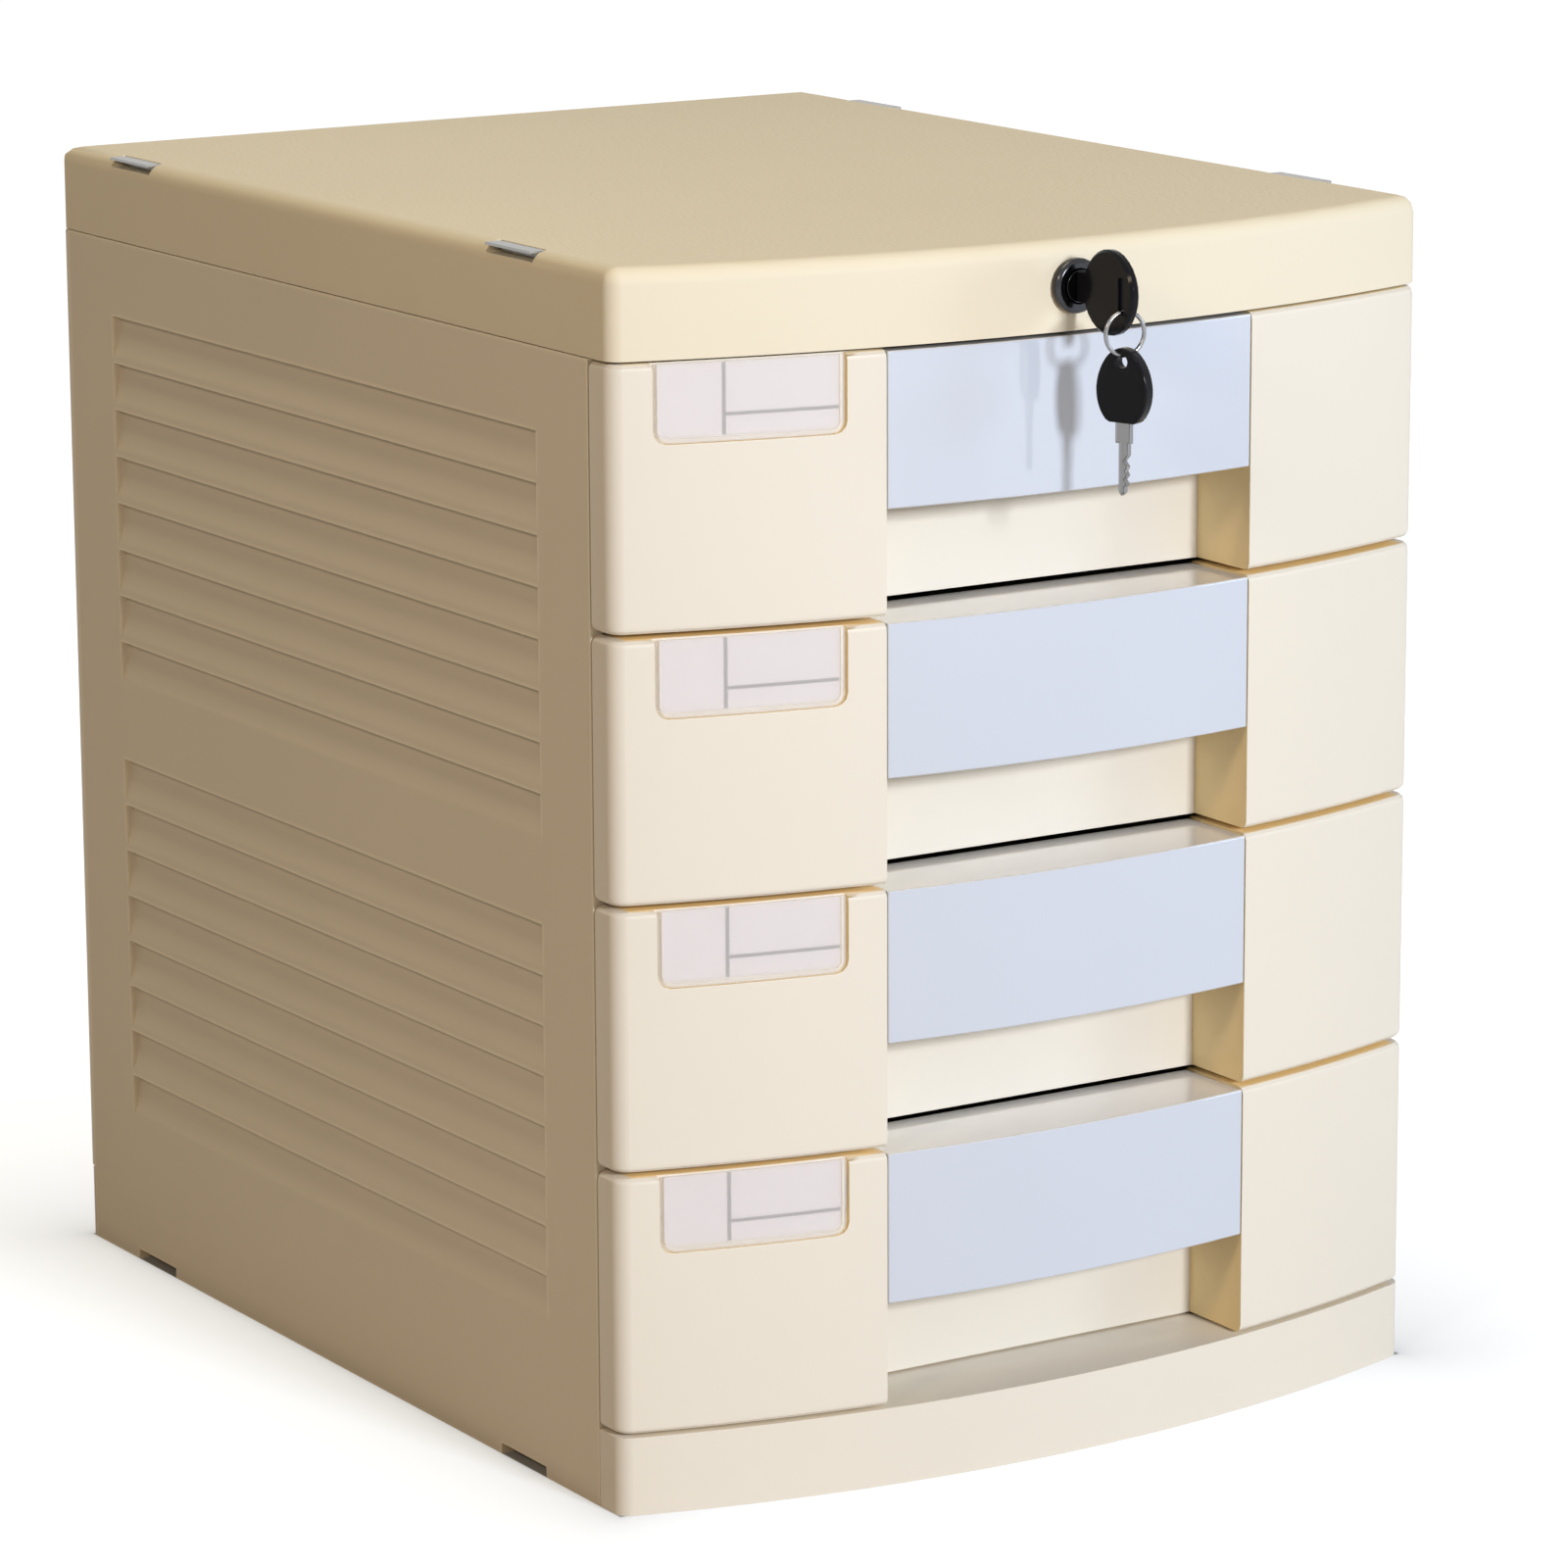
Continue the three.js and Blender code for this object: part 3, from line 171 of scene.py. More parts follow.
# The base is moulded in cream plastic: a bowed skirt under a flat deck, with crossing ribs below
# and a groove in each flank that the side panels snap into. The mould leaves its edges a little
# rounded and its faces with a fine satin grain.
def satin_plastic(name, colour, grain_depth, roughness, gloss):
    """Moulded plastic: a body colour that drifts a little, under a fine spark-eroded grain."""
    finish = bpy.data.materials.new(name)
    finish.use_nodes = True
    nodes, links = finish.node_tree.nodes, finish.node_tree.links
    surface = nodes["Principled BSDF"]
    surface.inputs["IOR"].default_value = 1.49
    surface.inputs["Specular IOR Level"].default_value = gloss
    place = nodes.new("ShaderNodeTexCoord")
    drift = nodes.new("ShaderNodeTexNoise")
    drift.inputs["Scale"].default_value = 7
    drift.inputs["Detail"].default_value = 4
    drift.inputs["Roughness"].default_value = 0.6
    links.new(place.outputs["Object"], drift.inputs["Vector"])
    tint = nodes.new("ShaderNodeMix")
    tint.data_type = "RGBA"
    tint.inputs[6].default_value = (*[c * 0.97 for c in colour], 1)
    tint.inputs[7].default_value = (*colour, 1)
    spread = nodes.new("ShaderNodeMapRange")
    spread.inputs["From Min"].default_value = 0.3
    spread.inputs["From Max"].default_value = 0.7
    links.new(drift.outputs["Fac"], spread.inputs["Value"])
    links.new(spread.outputs["Result"], tint.inputs["Factor"])
    links.new(tint.outputs[2], surface.inputs["Base Color"])
    grain = nodes.new("ShaderNodeTexNoise")
    grain.inputs["Scale"].default_value = 1400
    grain.inputs["Detail"].default_value = 2
    links.new(place.outputs["Object"], grain.inputs["Vector"])
    sheen = nodes.new("ShaderNodeMapRange")
    sheen.inputs["To Min"].default_value = roughness - 0.05
    sheen.inputs["To Max"].default_value = roughness + 0.05
    links.new(grain.outputs["Fac"], sheen.inputs["Value"])
    links.new(sheen.outputs["Result"], surface.inputs["Roughness"])
    relief = nodes.new("ShaderNodeBump")
    relief.inputs["Strength"].default_value = 0.25
    relief.inputs["Distance"].default_value = grain_depth
    links.new(grain.outputs["Fac"], relief.inputs["Height"])
    links.new(relief.outputs["Normal"], surface.inputs["Normal"])
    return finish


def eased_copy(name, node, body, edge, finish, crease=35, eased_from=25):
    """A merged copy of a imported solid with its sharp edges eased, which then stands for it."""
    shell = bmesh.new()
    shell.from_mesh(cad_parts[node].data)
    bmesh.ops.remove_doubles(shell, verts=shell.verts, dist=2e-6)
    bmesh.ops.dissolve_limit(
        shell, angle_limit=math.radians(0.5), verts=shell.verts, edges=shell.edges
    )
    crisp = [e for e in shell.edges if e.calc_face_angle(0) > math.radians(eased_from)]
    room_needed = 2.2 * edge
    roomy = [
        e
        for e in crisp
        if min(n.calc_length() for v in e.verts for n in v.link_edges) > room_needed
    ]
    bmesh.ops.bevel(
        shell,
        geom=roomy,
        offset=edge,
        offset_type="OFFSET",
        segments=2,
        profile=0.5,
        affect="EDGES",
        material=-1,
        clamp_overlap=True,
    )
    mesh = bpy.data.meshes.new(name)
    shell.to_mesh(mesh)
    shell.free()
    return finished_piece(name, mesh, body, finish, [node], crease)


def finished_piece(name, mesh, body, finish, nodes, crease=35):
    """A piece from its mesh: smooth over its eased edges, on its body, in place of its solids."""
    for face in mesh.polygons:
        face.use_smooth = True
    mesh.set_sharp_from_angle(angle=math.radians(crease))
    mesh.materials.append(finish)
    piece = bpy.data.objects.new(name, mesh)
    bpy.context.scene.collection.objects.link(piece)
    piece.modifiers.new("even_faces", "WEIGHTED_NORMAL").keep_sharp = True
    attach(piece, body)
    if nodes:
        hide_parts(*nodes)
    return piece


cream_colour = (0.84, 0.785, 0.70)
cream = satin_plastic("cream_satin", cream_colour, 0.00004, 0.42, 0.35)
eased_copy("base_moulding", "base", "cabinet", 0.0006, cream)

# The side panels are single mouldings too, with two groups of louvres sunk into the outer face
# and the drawer runners on the inner one. They stand beside the base and reach up into the cover.
# Their cream is painted a shade darker in the louvre hollows, as painted shade, and a little paler
# on the lips, as a painted highlight.
cream_matt = satin_plastic("cream_matt", (0.84, 0.775, 0.66), 0.00005, 0.55, 0.2)
panel_nodes, panel_links = cream_matt.node_tree.nodes, cream_matt.node_tree.links
panel_colour = panel_nodes["Principled BSDF"].inputs["Base Color"]
# Painted shade: the cream is darkened where the louvre hollows close round it.
panel_hollow = panel_nodes.new("ShaderNodeAmbientOcclusion")
panel_hollow.samples = 8
panel_hollow.inputs["Distance"].default_value = 0.008
panel_painted_shade = panel_nodes.new("ShaderNodeMapRange")
panel_painted_shade.inputs["From Min"].default_value = 0.5
panel_painted_shade.inputs["To Min"].default_value = 0.86
panel_links.new(panel_hollow.outputs["AO"], panel_painted_shade.inputs["Value"])
# Painted highlight: the cream is lightened on the convex lips of the louvres.
panel_rim = panel_nodes.new("ShaderNodeAmbientOcclusion")
panel_rim.samples = 8
panel_rim.inside = True
panel_rim.inputs["Distance"].default_value = 0.0015
panel_painted_highlight = panel_nodes.new("ShaderNodeMapRange")
panel_painted_highlight.inputs["From Min"].default_value = 1
panel_painted_highlight.inputs["From Max"].default_value = 0.5
panel_painted_highlight.inputs["To Min"].default_value = 1
panel_painted_highlight.inputs["To Max"].default_value = 1.18
panel_links.new(panel_rim.outputs["AO"], panel_painted_highlight.inputs["Value"])
panel_painted_light = panel_nodes.new("ShaderNodeMath")
panel_painted_light.operation = "MULTIPLY"
panel_links.new(panel_painted_shade.outputs["Result"], panel_painted_light.inputs[0])
panel_links.new(panel_painted_highlight.outputs["Result"], panel_painted_light.inputs[1])
panel_shade = panel_nodes.new("ShaderNodeVectorMath")
panel_shade.operation = "SCALE"
panel_links.new(panel_colour.links[0].from_socket, panel_shade.inputs[0])
panel_links.new(panel_painted_light.outputs[0], panel_shade.inputs["Scale"])
panel_links.new(panel_shade.outputs["Vector"], panel_colour)
louvre_crease = 18
for side in ("left", "right"):
    eased_copy(
        f"{side}_panel_moulding",
        f"{side}_panel",
        "cabinet",
        0.0003,
        cream_matt,
        louvre_crease,
    )

# The back is a flat cream moulding with a sunk field that stiffens it. It closes the carcass from
# behind and ties the side panels together, held by a pan head screw near each corner.
eased_copy("back_moulding", "back_panel", "cabinet", 0.0005, cream)


def plated_steel(name, colour, roughness, streak):
    """Zinc-plated steel with the fine drawn lines of the sheet or bar that it was cut from."""
    finish = bpy.data.materials.new(name)
    finish.use_nodes = True
    nodes, links = finish.node_tree.nodes, finish.node_tree.links
    surface = nodes["Principled BSDF"]
    surface.inputs["Metallic"].default_value = 1
    place = nodes.new("ShaderNodeTexCoord")
    stretch = nodes.new("ShaderNodeMapping")
    stretch.inputs["Scale"].default_value = streak
    links.new(place.outputs["Object"], stretch.inputs["Vector"])
    lines = nodes.new("ShaderNodeTexNoise")
    lines.inputs["Scale"].default_value = 300
    lines.inputs["Detail"].default_value = 3
    links.new(stretch.outputs["Vector"], lines.inputs["Vector"])
    tint = nodes.new("ShaderNodeMix")
    tint.data_type = "RGBA"
    tint.inputs[6].default_value = (*[c * 0.8 for c in colour], 1)
    tint.inputs[7].default_value = (*colour, 1)
    links.new(lines.outputs["Fac"], tint.inputs["Factor"])
    links.new(tint.outputs[2], surface.inputs["Base Color"])
    dulling = nodes.new("ShaderNodeMapRange")
    dulling.inputs["To Min"].default_value = roughness - 0.08
    dulling.inputs["To Max"].default_value = roughness + 0.1
    links.new(lines.outputs["Fac"], dulling.inputs["Value"])
    links.new(dulling.outputs["Result"], surface.inputs["Roughness"])
    relief = nodes.new("ShaderNodeBump")
    relief.inputs["Strength"].default_value = 0.15
    relief.inputs["Distance"].default_value = 0.00003
    links.new(lines.outputs["Fac"], relief.inputs["Height"])
    links.new(relief.outputs["Normal"], surface.inputs["Normal"])
    return finish


zinc = plated_steel("bright_zinc", (0.62, 0.61, 0.60), 0.3, (1, 0.15, 1))


def add_pan_head_screw(node, body):
    """A pan head screw with a cross recess and a plain shank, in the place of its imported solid."""
    low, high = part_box(node)
    middle = (low + high) / 2
    head_radius = (high.x - low.x) / 2
    length = high.y - low.y
    head_height = length * 0.13
    recess_depth = head_height * 0.8
    shank_inset = head_radius * 0.53
    screw = bmesh.new()
    seat_rim = bmesh.ops.create_circle(screw, segments=24, radius=head_radius)["verts"]
    loop = list(screw.edges)
    for spread, rise in ((1, 0.45), (0.93, 0.75), (0.78, 0.93), (0.66, 0.98)):
        grown = bmesh.ops.extrude_edge_only(screw, edges=loop)["geom"]
        crown = [g for g in grown if isinstance(g, bmesh.types.BMVert)]
        loop = [e for e in screw.edges if all(v in crown for v in e.verts)]
        for v in crown:
            flat = Vector((v.co.x, v.co.y)).normalized() * head_radius * spread
            v.co = (flat.x, flat.y, head_height * rise)
    corners = []
    for turn in range(4):
        spin = Matrix.Rotation(turn * math.pi / 2, 2)
        for x, y in ((0.55, -0.13), (0.55, 0.13), (0.13, 0.13)):
            flat = spin @ Vector((x, y)) * head_radius
            corners.append(screw.verts.new((flat.x, flat.y, head_height)))
    cross = [screw.edges.new((corners[i - 1], corners[i])) for i in range(len(corners))]
    bmesh.ops.bridge_loops(screw, edges=loop + cross)
    sunk = bmesh.ops.extrude_edge_only(screw, edges=cross)["geom"]
    floor = [g for g in sunk if isinstance(g, bmesh.types.BMVert)]
    bmesh.ops.translate(screw, verts=floor, vec=(0, 0, -recess_depth))
    floor_rim = [e for e in screw.edges if all(v in floor for v in e.verts)]
    bmesh.ops.contextual_create(screw, geom=floor_rim)
    seat = bmesh.ops.contextual_create(screw, geom=seat_rim)["faces"]
    bmesh.ops.inset_region(screw, faces=seat, thickness=shank_inset)
    shank = bmesh.ops.extrude_discrete_faces(screw, faces=seat)["faces"]
    tip = list({v for f in shank for v in f.verts})
    bmesh.ops.translate(screw, verts=tip, vec=(0, 0, head_height - length))
    bmesh.ops.recalc_face_normals(screw, faces=screw.faces)
    place = Matrix.Translation((middle.x, high.y - head_height, middle.z))
    to_rear = Matrix.Rotation(-math.pi / 2, 4, "X")
    bmesh.ops.transform(screw, matrix=place @ to_rear, verts=screw.verts)
    mesh = bpy.data.meshes.new(f"{node}_cross_head")
    screw.to_mesh(mesh)
    screw.free()
    finished_piece(f"{node}_cross_head", mesh, body, zinc, [node])


for level in ("lower", "upper"):
    for side in ("left", "right"):
        add_pan_head_screw(f"back_screw_{level}_{side}", "cabinet")

# The top cover is one moulding with its bowed front rail. Its rounded rim is smooth, and the flat
# top inside it has a coarser grain against scratches. Pockets in its side edges hold the clips.
grained = satin_plastic("cream_grained", (0.865, 0.79, 0.64), 0.00004, 0.55, 0.2)
grained_nodes, grained_links = grained.node_tree.nodes, grained.node_tree.links
grain_place = grained_nodes.new("ShaderNodeTexCoord")
grain_height = grained_nodes.new("ShaderNodeSeparateXYZ")
grained_links.new(grain_place.outputs["Object"], grain_height.inputs[0])
grain_field = grained_nodes.new("ShaderNodeMapRange")
grain_field.inputs["From Min"].default_value = 0.3845
grain_field.inputs["From Max"].default_value = 0.38495
grained_links.new(grain_height.outputs["Z"], grain_field.inputs["Value"])
pebbles = grained_nodes.new("ShaderNodeTexNoise")
pebbles.inputs["Scale"].default_value = 620
pebbles.inputs["Detail"].default_value = 3
grained_links.new(grain_place.outputs["Object"], pebbles.inputs["Vector"])
pebble_relief = grained_nodes.new("ShaderNodeBump")
pebble_relief.inputs["Distance"].default_value = 0.00025
grained_links.new(pebbles.outputs["Fac"], pebble_relief.inputs["Height"])
grained_links.new(grain_field.outputs["Result"], pebble_relief.inputs["Strength"])
grained_surface = grained_nodes["Principled BSDF"]
grained_links.new(pebble_relief.outputs["Normal"], grained_surface.inputs["Normal"])
eased_copy(
    "top_cover_moulding",
    "top_cover",
    "cabinet",
    0.00018,
    grained,
    eased_from=32,
)

# The stacking clips are bent from spring steel strip and pressed into the pockets of the cover.
# The feet of a cabinet on top have notches that take them.
spring_steel = plated_steel("spring_steel", (0.34, 0.335, 0.32), 0.32, (1, 0.1, 1))
for end in ("front", "rear"):
    for side in ("left", "right"):
        eased_copy(
            f"{end}_{side}_clip",
            f"stacking_clip_{end}_{side}",
            "cabinet",
            0.0002,
            spring_steel,
        )

# The cam lock is a turned and plated zinc casting, clamped in the rail by a nut from behind. Its
# plug is slotted for the key and turns inside the housing.
dark_plate = plated_steel("dark_plating", (0.06, 0.06, 0.065), 0.16, (1, 1, 1))
eased_copy("lock_barrel", "lock_housing", "cabinet", 0.0004, dark_plate)
eased_copy("lock_clamp_nut", "lock_nut", "cabinet", 0.0004, zinc)
eased_copy("lock_turning_plug", "lock_plug", "lock", 0.0003, dark_plate)

# The key has a round bow moulded in black plastic over its steel blade, with a slot for the ring
# near the edge. The blade is cut with the notches that lift the pins of the lock.
key_plastic = satin_plastic("black_key_plastic", (0.008, 0.008, 0.011), 0.00003, 0.15, 0.1)
eased_copy("key_grip", "key_bow", "lock", 0.0002, key_plastic)
key_steel = plated_steel("key_nickel", (0.28, 0.28, 0.285), 0.2, (1, 0.3, 0.3))
eased_copy("key_shaft", "key_blade", "lock", 0.0002, key_steel)

# A split ring of spring wire hangs in the slot of the key, and a spare key hangs from the ring.
# The ring is wound with its two ends side by side.
ring_radius = 0.0066
ring_wire = 0.00065
ring_y = -0.2317
ring_z = 0.35945
ring_swing = math.radians(-6)
ring = bmesh.new()
across_wire = Matrix.Translation((ring_radius, 0, 0)) @ Matrix.Rotation(math.pi / 2, 4, "X")
wire = bmesh.ops.create_circle(ring, segments=12, radius=ring_wire, matrix=across_wire)
bmesh.ops.spin(
    ring,
    geom=list({e for v in wire["verts"] for e in v.link_edges}) + wire["verts"],
    cent=(0, 0, 0),
    axis=(0, 0, 1),
    angle=2 * math.pi,
    steps=64,
    use_merge=True,
)
bmesh.ops.remove_doubles(ring, verts=ring.verts, dist=1e-6)
bmesh.ops.recalc_face_normals(ring, faces=ring.faces)
ring_turn = Matrix.Rotation(ring_swing, 4, "Z") @ Matrix.Rotation(math.pi / 2, 4, "X")
stand_up = Matrix.Translation((0, ring_y, ring_z)) @ ring_turn
bmesh.ops.transform(ring, matrix=stand_up, verts=ring.verts)
ring_mesh = bpy.data.meshes.new("key_ring")
ring.to_mesh(ring_mesh)
ring.free()
finished_piece("key_ring", ring_mesh, "cabinet", key_steel, [])

eyelet_radius = 0.002
eyelet_margin = 0.0042
ring_lap = 0.0024
spare_top = ring_z - ring_radius + ring_lap
spare_height = 0.0245
spare_width = 0.0185
spare_thickness = 0.0042
spare_foot = 0.43
spare_edge = 0.0007
cheek_rim = 0.0013
cheek_depth = 0.00035
spare_swing = math.radians(20)
spare = bmesh.new()
outline = bmesh.ops.create_circle(spare, segments=40, radius=0.5)["verts"]
for v in outline:
    lift = 0.5 + v.co.y
    fullness = 1 + 0.12 * max(0, 0.5 - lift) - 0.2 * max(0, lift - 0.5)
    v.co.x *= spare_width * fullness
    v.co.y = spare_height * max(v.co.y, -spare_foot)
outline_edges = list({e for v in outline for e in v.link_edges})
eyelet = bmesh.ops.create_circle(spare, segments=40, radius=eyelet_radius)["verts"]
bmesh.ops.translate(spare, verts=eyelet, vec=(0, spare_height / 2 - eyelet_margin, 0))
eyelet_edges = list({e for v in eyelet for e in v.link_edges})
bmesh.ops.bridge_loops(spare, edges=outline_edges + eyelet_edges)
cheek = list(spare.faces)
grown = bmesh.ops.extrude_face_region(spare, geom=cheek)["geom"]
bmesh.ops.translate(
    spare,
    verts=[g for g in grown if isinstance(g, bmesh.types.BMVert)],
    vec=(0, 0, spare_thickness),
)
bmesh.ops.recalc_face_normals(spare, faces=spare.faces)
rims = [e for e in spare.edges if e.calc_face_angle(0) > math.radians(50)]
bmesh.ops.bevel(
    spare,
    geom=rims,
    offset=spare_edge,
    offset_type="OFFSET",
    segments=3,
    profile=0.5,
    affect="EDGES",
    material=-1,
    clamp_overlap=True,
)
cheeks = [f for f in spare.faces if abs(f.normal.z) > 0.99]
bmesh.ops.inset_region(
    spare, faces=cheeks, thickness=cheek_rim, depth=-cheek_depth, use_even_offset=True
)
bmesh.ops.translate(spare, verts=spare.verts, vec=(0, -spare_height / 2, -spare_thickness / 2))
spare_turn = Matrix.Translation((0, ring_y, 0)) @ Matrix.Rotation(spare_swing, 4, "Z")
hang = spare_turn @ Matrix(((0, 0, 1, 0), (1, 0, 0, 0), (0, 1, 0, spare_top), (0, 0, 0, 1)))
bmesh.ops.transform(spare, matrix=hang, verts=spare.verts)
spare_mesh = bpy.data.meshes.new("spare_key_grip")
spare.to_mesh(spare_mesh)
spare.free()
finished_piece("spare_key_grip", spare_mesh, "cabinet", key_plastic, [])

shaft_thickness = 0.0018
shaft_grip = 0.0015
shaft_edge = 0.00015
flank_rim = 0.0004
flank_depth = 0.0003
shaft_top = spare_top - spare_height * (0.5 + spare_foot) + shaft_grip
shaft_outline = [(-0.0027, 0), (-0.0027, -0.0078), (-0.0014, -0.0078), (-0.0014, -0.0225)]
shaft_outline += [(-0.0004, -0.0238), (0.0008, -0.0228), (0.0008, -0.0212)]
shaft_outline += [(0.0018, -0.0202), (0.0007, -0.0188)]
shaft_outline += [(0.0018, -0.0176), (0.0011, -0.0162), (0.0018, -0.0148), (0.0005, -0.0132)]
shaft_outline += [(0.002, -0.0114), (0.002, -0.0078), (0.0027, -0.0078), (0.0027, 0)]
shaft = bmesh.new()
side_face = shaft.faces.new([shaft.verts.new((0, -a, b)) for a, b in shaft_outline])
thick = bmesh.ops.extrude_face_region(shaft, geom=[side_face])["geom"]
bmesh.ops.translate(
    shaft,
    verts=[g for g in thick if isinstance(g, bmesh.types.BMVert)],
    vec=(shaft_thickness, 0, 0),
)
bmesh.ops.recalc_face_normals(shaft, faces=shaft.faces)
bmesh.ops.bevel(
    shaft,
    geom=[e for e in shaft.edges if e.calc_face_angle(0) > math.radians(25)],
    offset=shaft_edge,
    offset_type="OFFSET",
    segments=2,
    profile=0.5,
    affect="EDGES",
    material=-1,
    clamp_overlap=True,
)
flanks = [f for f in shaft.faces if abs(f.normal.x) > 0.99]
bmesh.ops.inset_region(
    shaft, faces=flanks, thickness=flank_rim, depth=-flank_depth, use_even_offset=True
)
bmesh.ops.translate(shaft, verts=shaft.verts, vec=(-shaft_thickness / 2, 0, shaft_top))
bmesh.ops.transform(shaft, matrix=spare_turn, verts=shaft.verts)
shaft_mesh = bpy.data.meshes.new("spare_key_shaft")
shaft.to_mesh(shaft_mesh)
shaft.free()
finished_piece("spare_key_shaft", shaft_mesh, "cabinet", key_steel, [])

# Behind the rail a steel spindle carries the turn of the key to the back, where its crank lowers
# a flat steel bar. Four hooks riveted to the bar drop behind the catches of the drawers.
for node in ("lock_spindle", "lock_crank"):
    eased_copy(f"{node}_steel", node, "lock", 0.0002, zinc)
eased_copy("locking_bar_steel", "locking_bar", "locking_bar", 0.0002, zinc)
drawer_numbers = range(1, 5)
for n in drawer_numbers:
    eased_copy(f"bar_hook_{n}", f"lock_hook_{n}", "locking_bar", 0.0002, zinc)


# Each drawer is a cream tray on side flanges with a bowed front screwed to it, a glossy pale blue
# plate that hoods the finger recess, and a printed card under a clear window at the top left.
def gloss_plastic(name, colour, painted_ledge_colour):
    """Polished plastic with a faint moulded ripple, painted paler where it faces up as painted
    light, and duller there.
    """
    finish = bpy.data.materials.new(name)
    finish.use_nodes = True
    nodes, links = finish.node_tree.nodes, finish.node_tree.links
    surface = nodes["Principled BSDF"]
    surface.inputs["IOR"].default_value = 1.5
    surface.inputs["Coat Weight"].default_value = 0.8
    place = nodes.new("ShaderNodeTexCoord")
    ripple = nodes.new("ShaderNodeTexNoise")
    ripple.inputs["Scale"].default_value = 14
    ripple.inputs["Detail"].default_value = 1
    links.new(place.outputs["Object"], ripple.inputs["Vector"])
    tint = nodes.new("ShaderNodeMix")
    tint.data_type = "RGBA"
    tint.inputs[6].default_value = (*[c * 0.965 for c in colour], 1)
    tint.inputs[7].default_value = (*colour, 1)
    links.new(ripple.outputs["Fac"], tint.inputs["Factor"])
    facing = nodes.new("ShaderNodeSeparateXYZ")
    links.new(place.outputs["Normal"], facing.inputs[0])
    level = nodes.new("ShaderNodeMapRange")
    level.inputs["From Min"].default_value = 0.5
    level.inputs["From Max"].default_value = 0.9
    links.new(facing.outputs["Z"], level.inputs["Value"])
    # Painted light: faces that point up are painted paler, as if lit from above.
    painted_ledge_light = nodes.new("ShaderNodeMix")
    painted_ledge_light.data_type = "RGBA"
    painted_ledge_light.inputs[7].default_value = (*painted_ledge_colour, 1)
    links.new(level.outputs["Result"], painted_ledge_light.inputs["Factor"])
    links.new(tint.outputs[2], painted_ledge_light.inputs[6])
    links.new(painted_ledge_light.outputs[2], surface.inputs["Base Color"])
    polish = nodes.new("ShaderNodeMapRange")
    polish.inputs["To Min"].default_value = 0.05
    polish.inputs["To Max"].default_value = 0.08
    links.new(level.outputs["Result"], polish.inputs["Value"])
    links.new(polish.outputs["Result"], surface.inputs["Coat Roughness"])
    haze = nodes.new("ShaderNodeMapRange")
    haze.inputs["To Min"].default_value = 0.1
    haze.inputs["To Max"].default_value = 0.15
    links.new(level.outputs["Result"], haze.inputs["Value"])
    links.new(haze.outputs["Result"], surface.inputs["Roughness"])
    relief = nodes.new("ShaderNodeBump")
    relief.inputs["Strength"].default_value = 0.1
    relief.inputs["Distance"].default_value = 0.0006
    links.new(ripple.outputs["Fac"], relief.inputs["Height"])
    links.new(relief.outputs["Normal"], surface.inputs["Normal"])
    return finish


# The fronts are painted amber in the narrow gaps round a shut drawer and on the walls beside its
# recess: painted light for what bounces in the gaps and shines through the thin walls.
front_cream = satin_plastic("cream_front", cream_colour, 0.00004, 0.42, 0.35)
front_nodes, front_links = front_cream.node_tree.nodes, front_cream.node_tree.links
front_colour = front_nodes["Principled BSDF"].inputs["Base Color"]
front_place = front_nodes.new("ShaderNodeTexCoord")
front_facing = front_nodes.new("ShaderNodeSeparateXYZ")
front_links.new(front_place.outputs["Normal"], front_facing.inputs[0])
front_turn = front_nodes.new("ShaderNodeMath")
front_turn.operation = "ABSOLUTE"
front_links.new(front_facing.outputs["Y"], front_turn.inputs[0])
front_edge = front_nodes.new("ShaderNodeMapRange")
front_edge.inputs["From Min"].default_value = 0.5
front_edge.inputs["From Max"].default_value = 0.1
front_links.new(front_turn.outputs[0], front_edge.inputs["Value"])
front_across = front_nodes.new("ShaderNodeSeparateXYZ")
front_links.new(front_place.outputs["Object"], front_across.inputs[0])
front_inside = front_nodes.new("ShaderNodeMath")
front_inside.operation = "COMPARE"
front_inside.inputs[1].default_value = 0
front_inside.inputs[2].default_value = 0.145
front_links.new(front_across.outputs["X"], front_inside.inputs[0])
front_narrow = front_nodes.new("ShaderNodeAmbientOcclusion")
front_narrow.samples = 8
front_narrow.inputs["Distance"].default_value = 0.005
front_gap = front_nodes.new("ShaderNodeMapRange")
front_gap.inputs["From Min"].default_value = 0.8
front_gap.inputs["From Max"].default_value = 0.4
front_links.new(front_narrow.outputs["AO"], front_gap.inputs["Value"])
front_wall = front_nodes.new("ShaderNodeMath")
front_wall.operation = "ABSOLUTE"
front_links.new(front_facing.outputs["X"], front_wall.inputs[0])
front_shut = front_nodes.new("ShaderNodeMath")
front_shut.operation = "MAXIMUM"
front_links.new(front_gap.outputs["Result"], front_shut.inputs[0])
front_links.new(front_wall.outputs[0], front_shut.inputs[1])
front_turned = front_nodes.new("ShaderNodeMath")
front_turned.operation = "MULTIPLY"
front_links.new(front_edge.outputs["Result"], front_turned.inputs[0])
front_links.new(front_shut.outputs[0], front_turned.inputs[1])
front_painted_light_mask = front_nodes.new("ShaderNodeMath")
front_painted_light_mask.operation = "MULTIPLY"
front_links.new(front_turned.outputs[0], front_painted_light_mask.inputs[0])
front_links.new(front_inside.outputs[0], front_painted_light_mask.inputs[1])
# Painted light: this amber stands for light bouncing in the gaps and shining through the thin walls.
front_painted_amber_light = front_nodes.new("ShaderNodeMix")
front_painted_amber_light.data_type = "RGBA"
front_painted_amber_light.inputs[7].default_value = (0.98, 0.78, 0.43, 1)
front_links.new(front_painted_light_mask.outputs[0], front_painted_amber_light.inputs["Factor"])
front_links.new(front_colour.links[0].from_socket, front_painted_amber_light.inputs[6])
front_links.new(front_painted_amber_light.outputs[2], front_colour)

# The second colour is painted light on the up-facing ledges of the plates.
pale_blue = gloss_plastic("pale_blue_gloss", (0.61, 0.66, 0.78), (0.96, 0.95, 0.96))

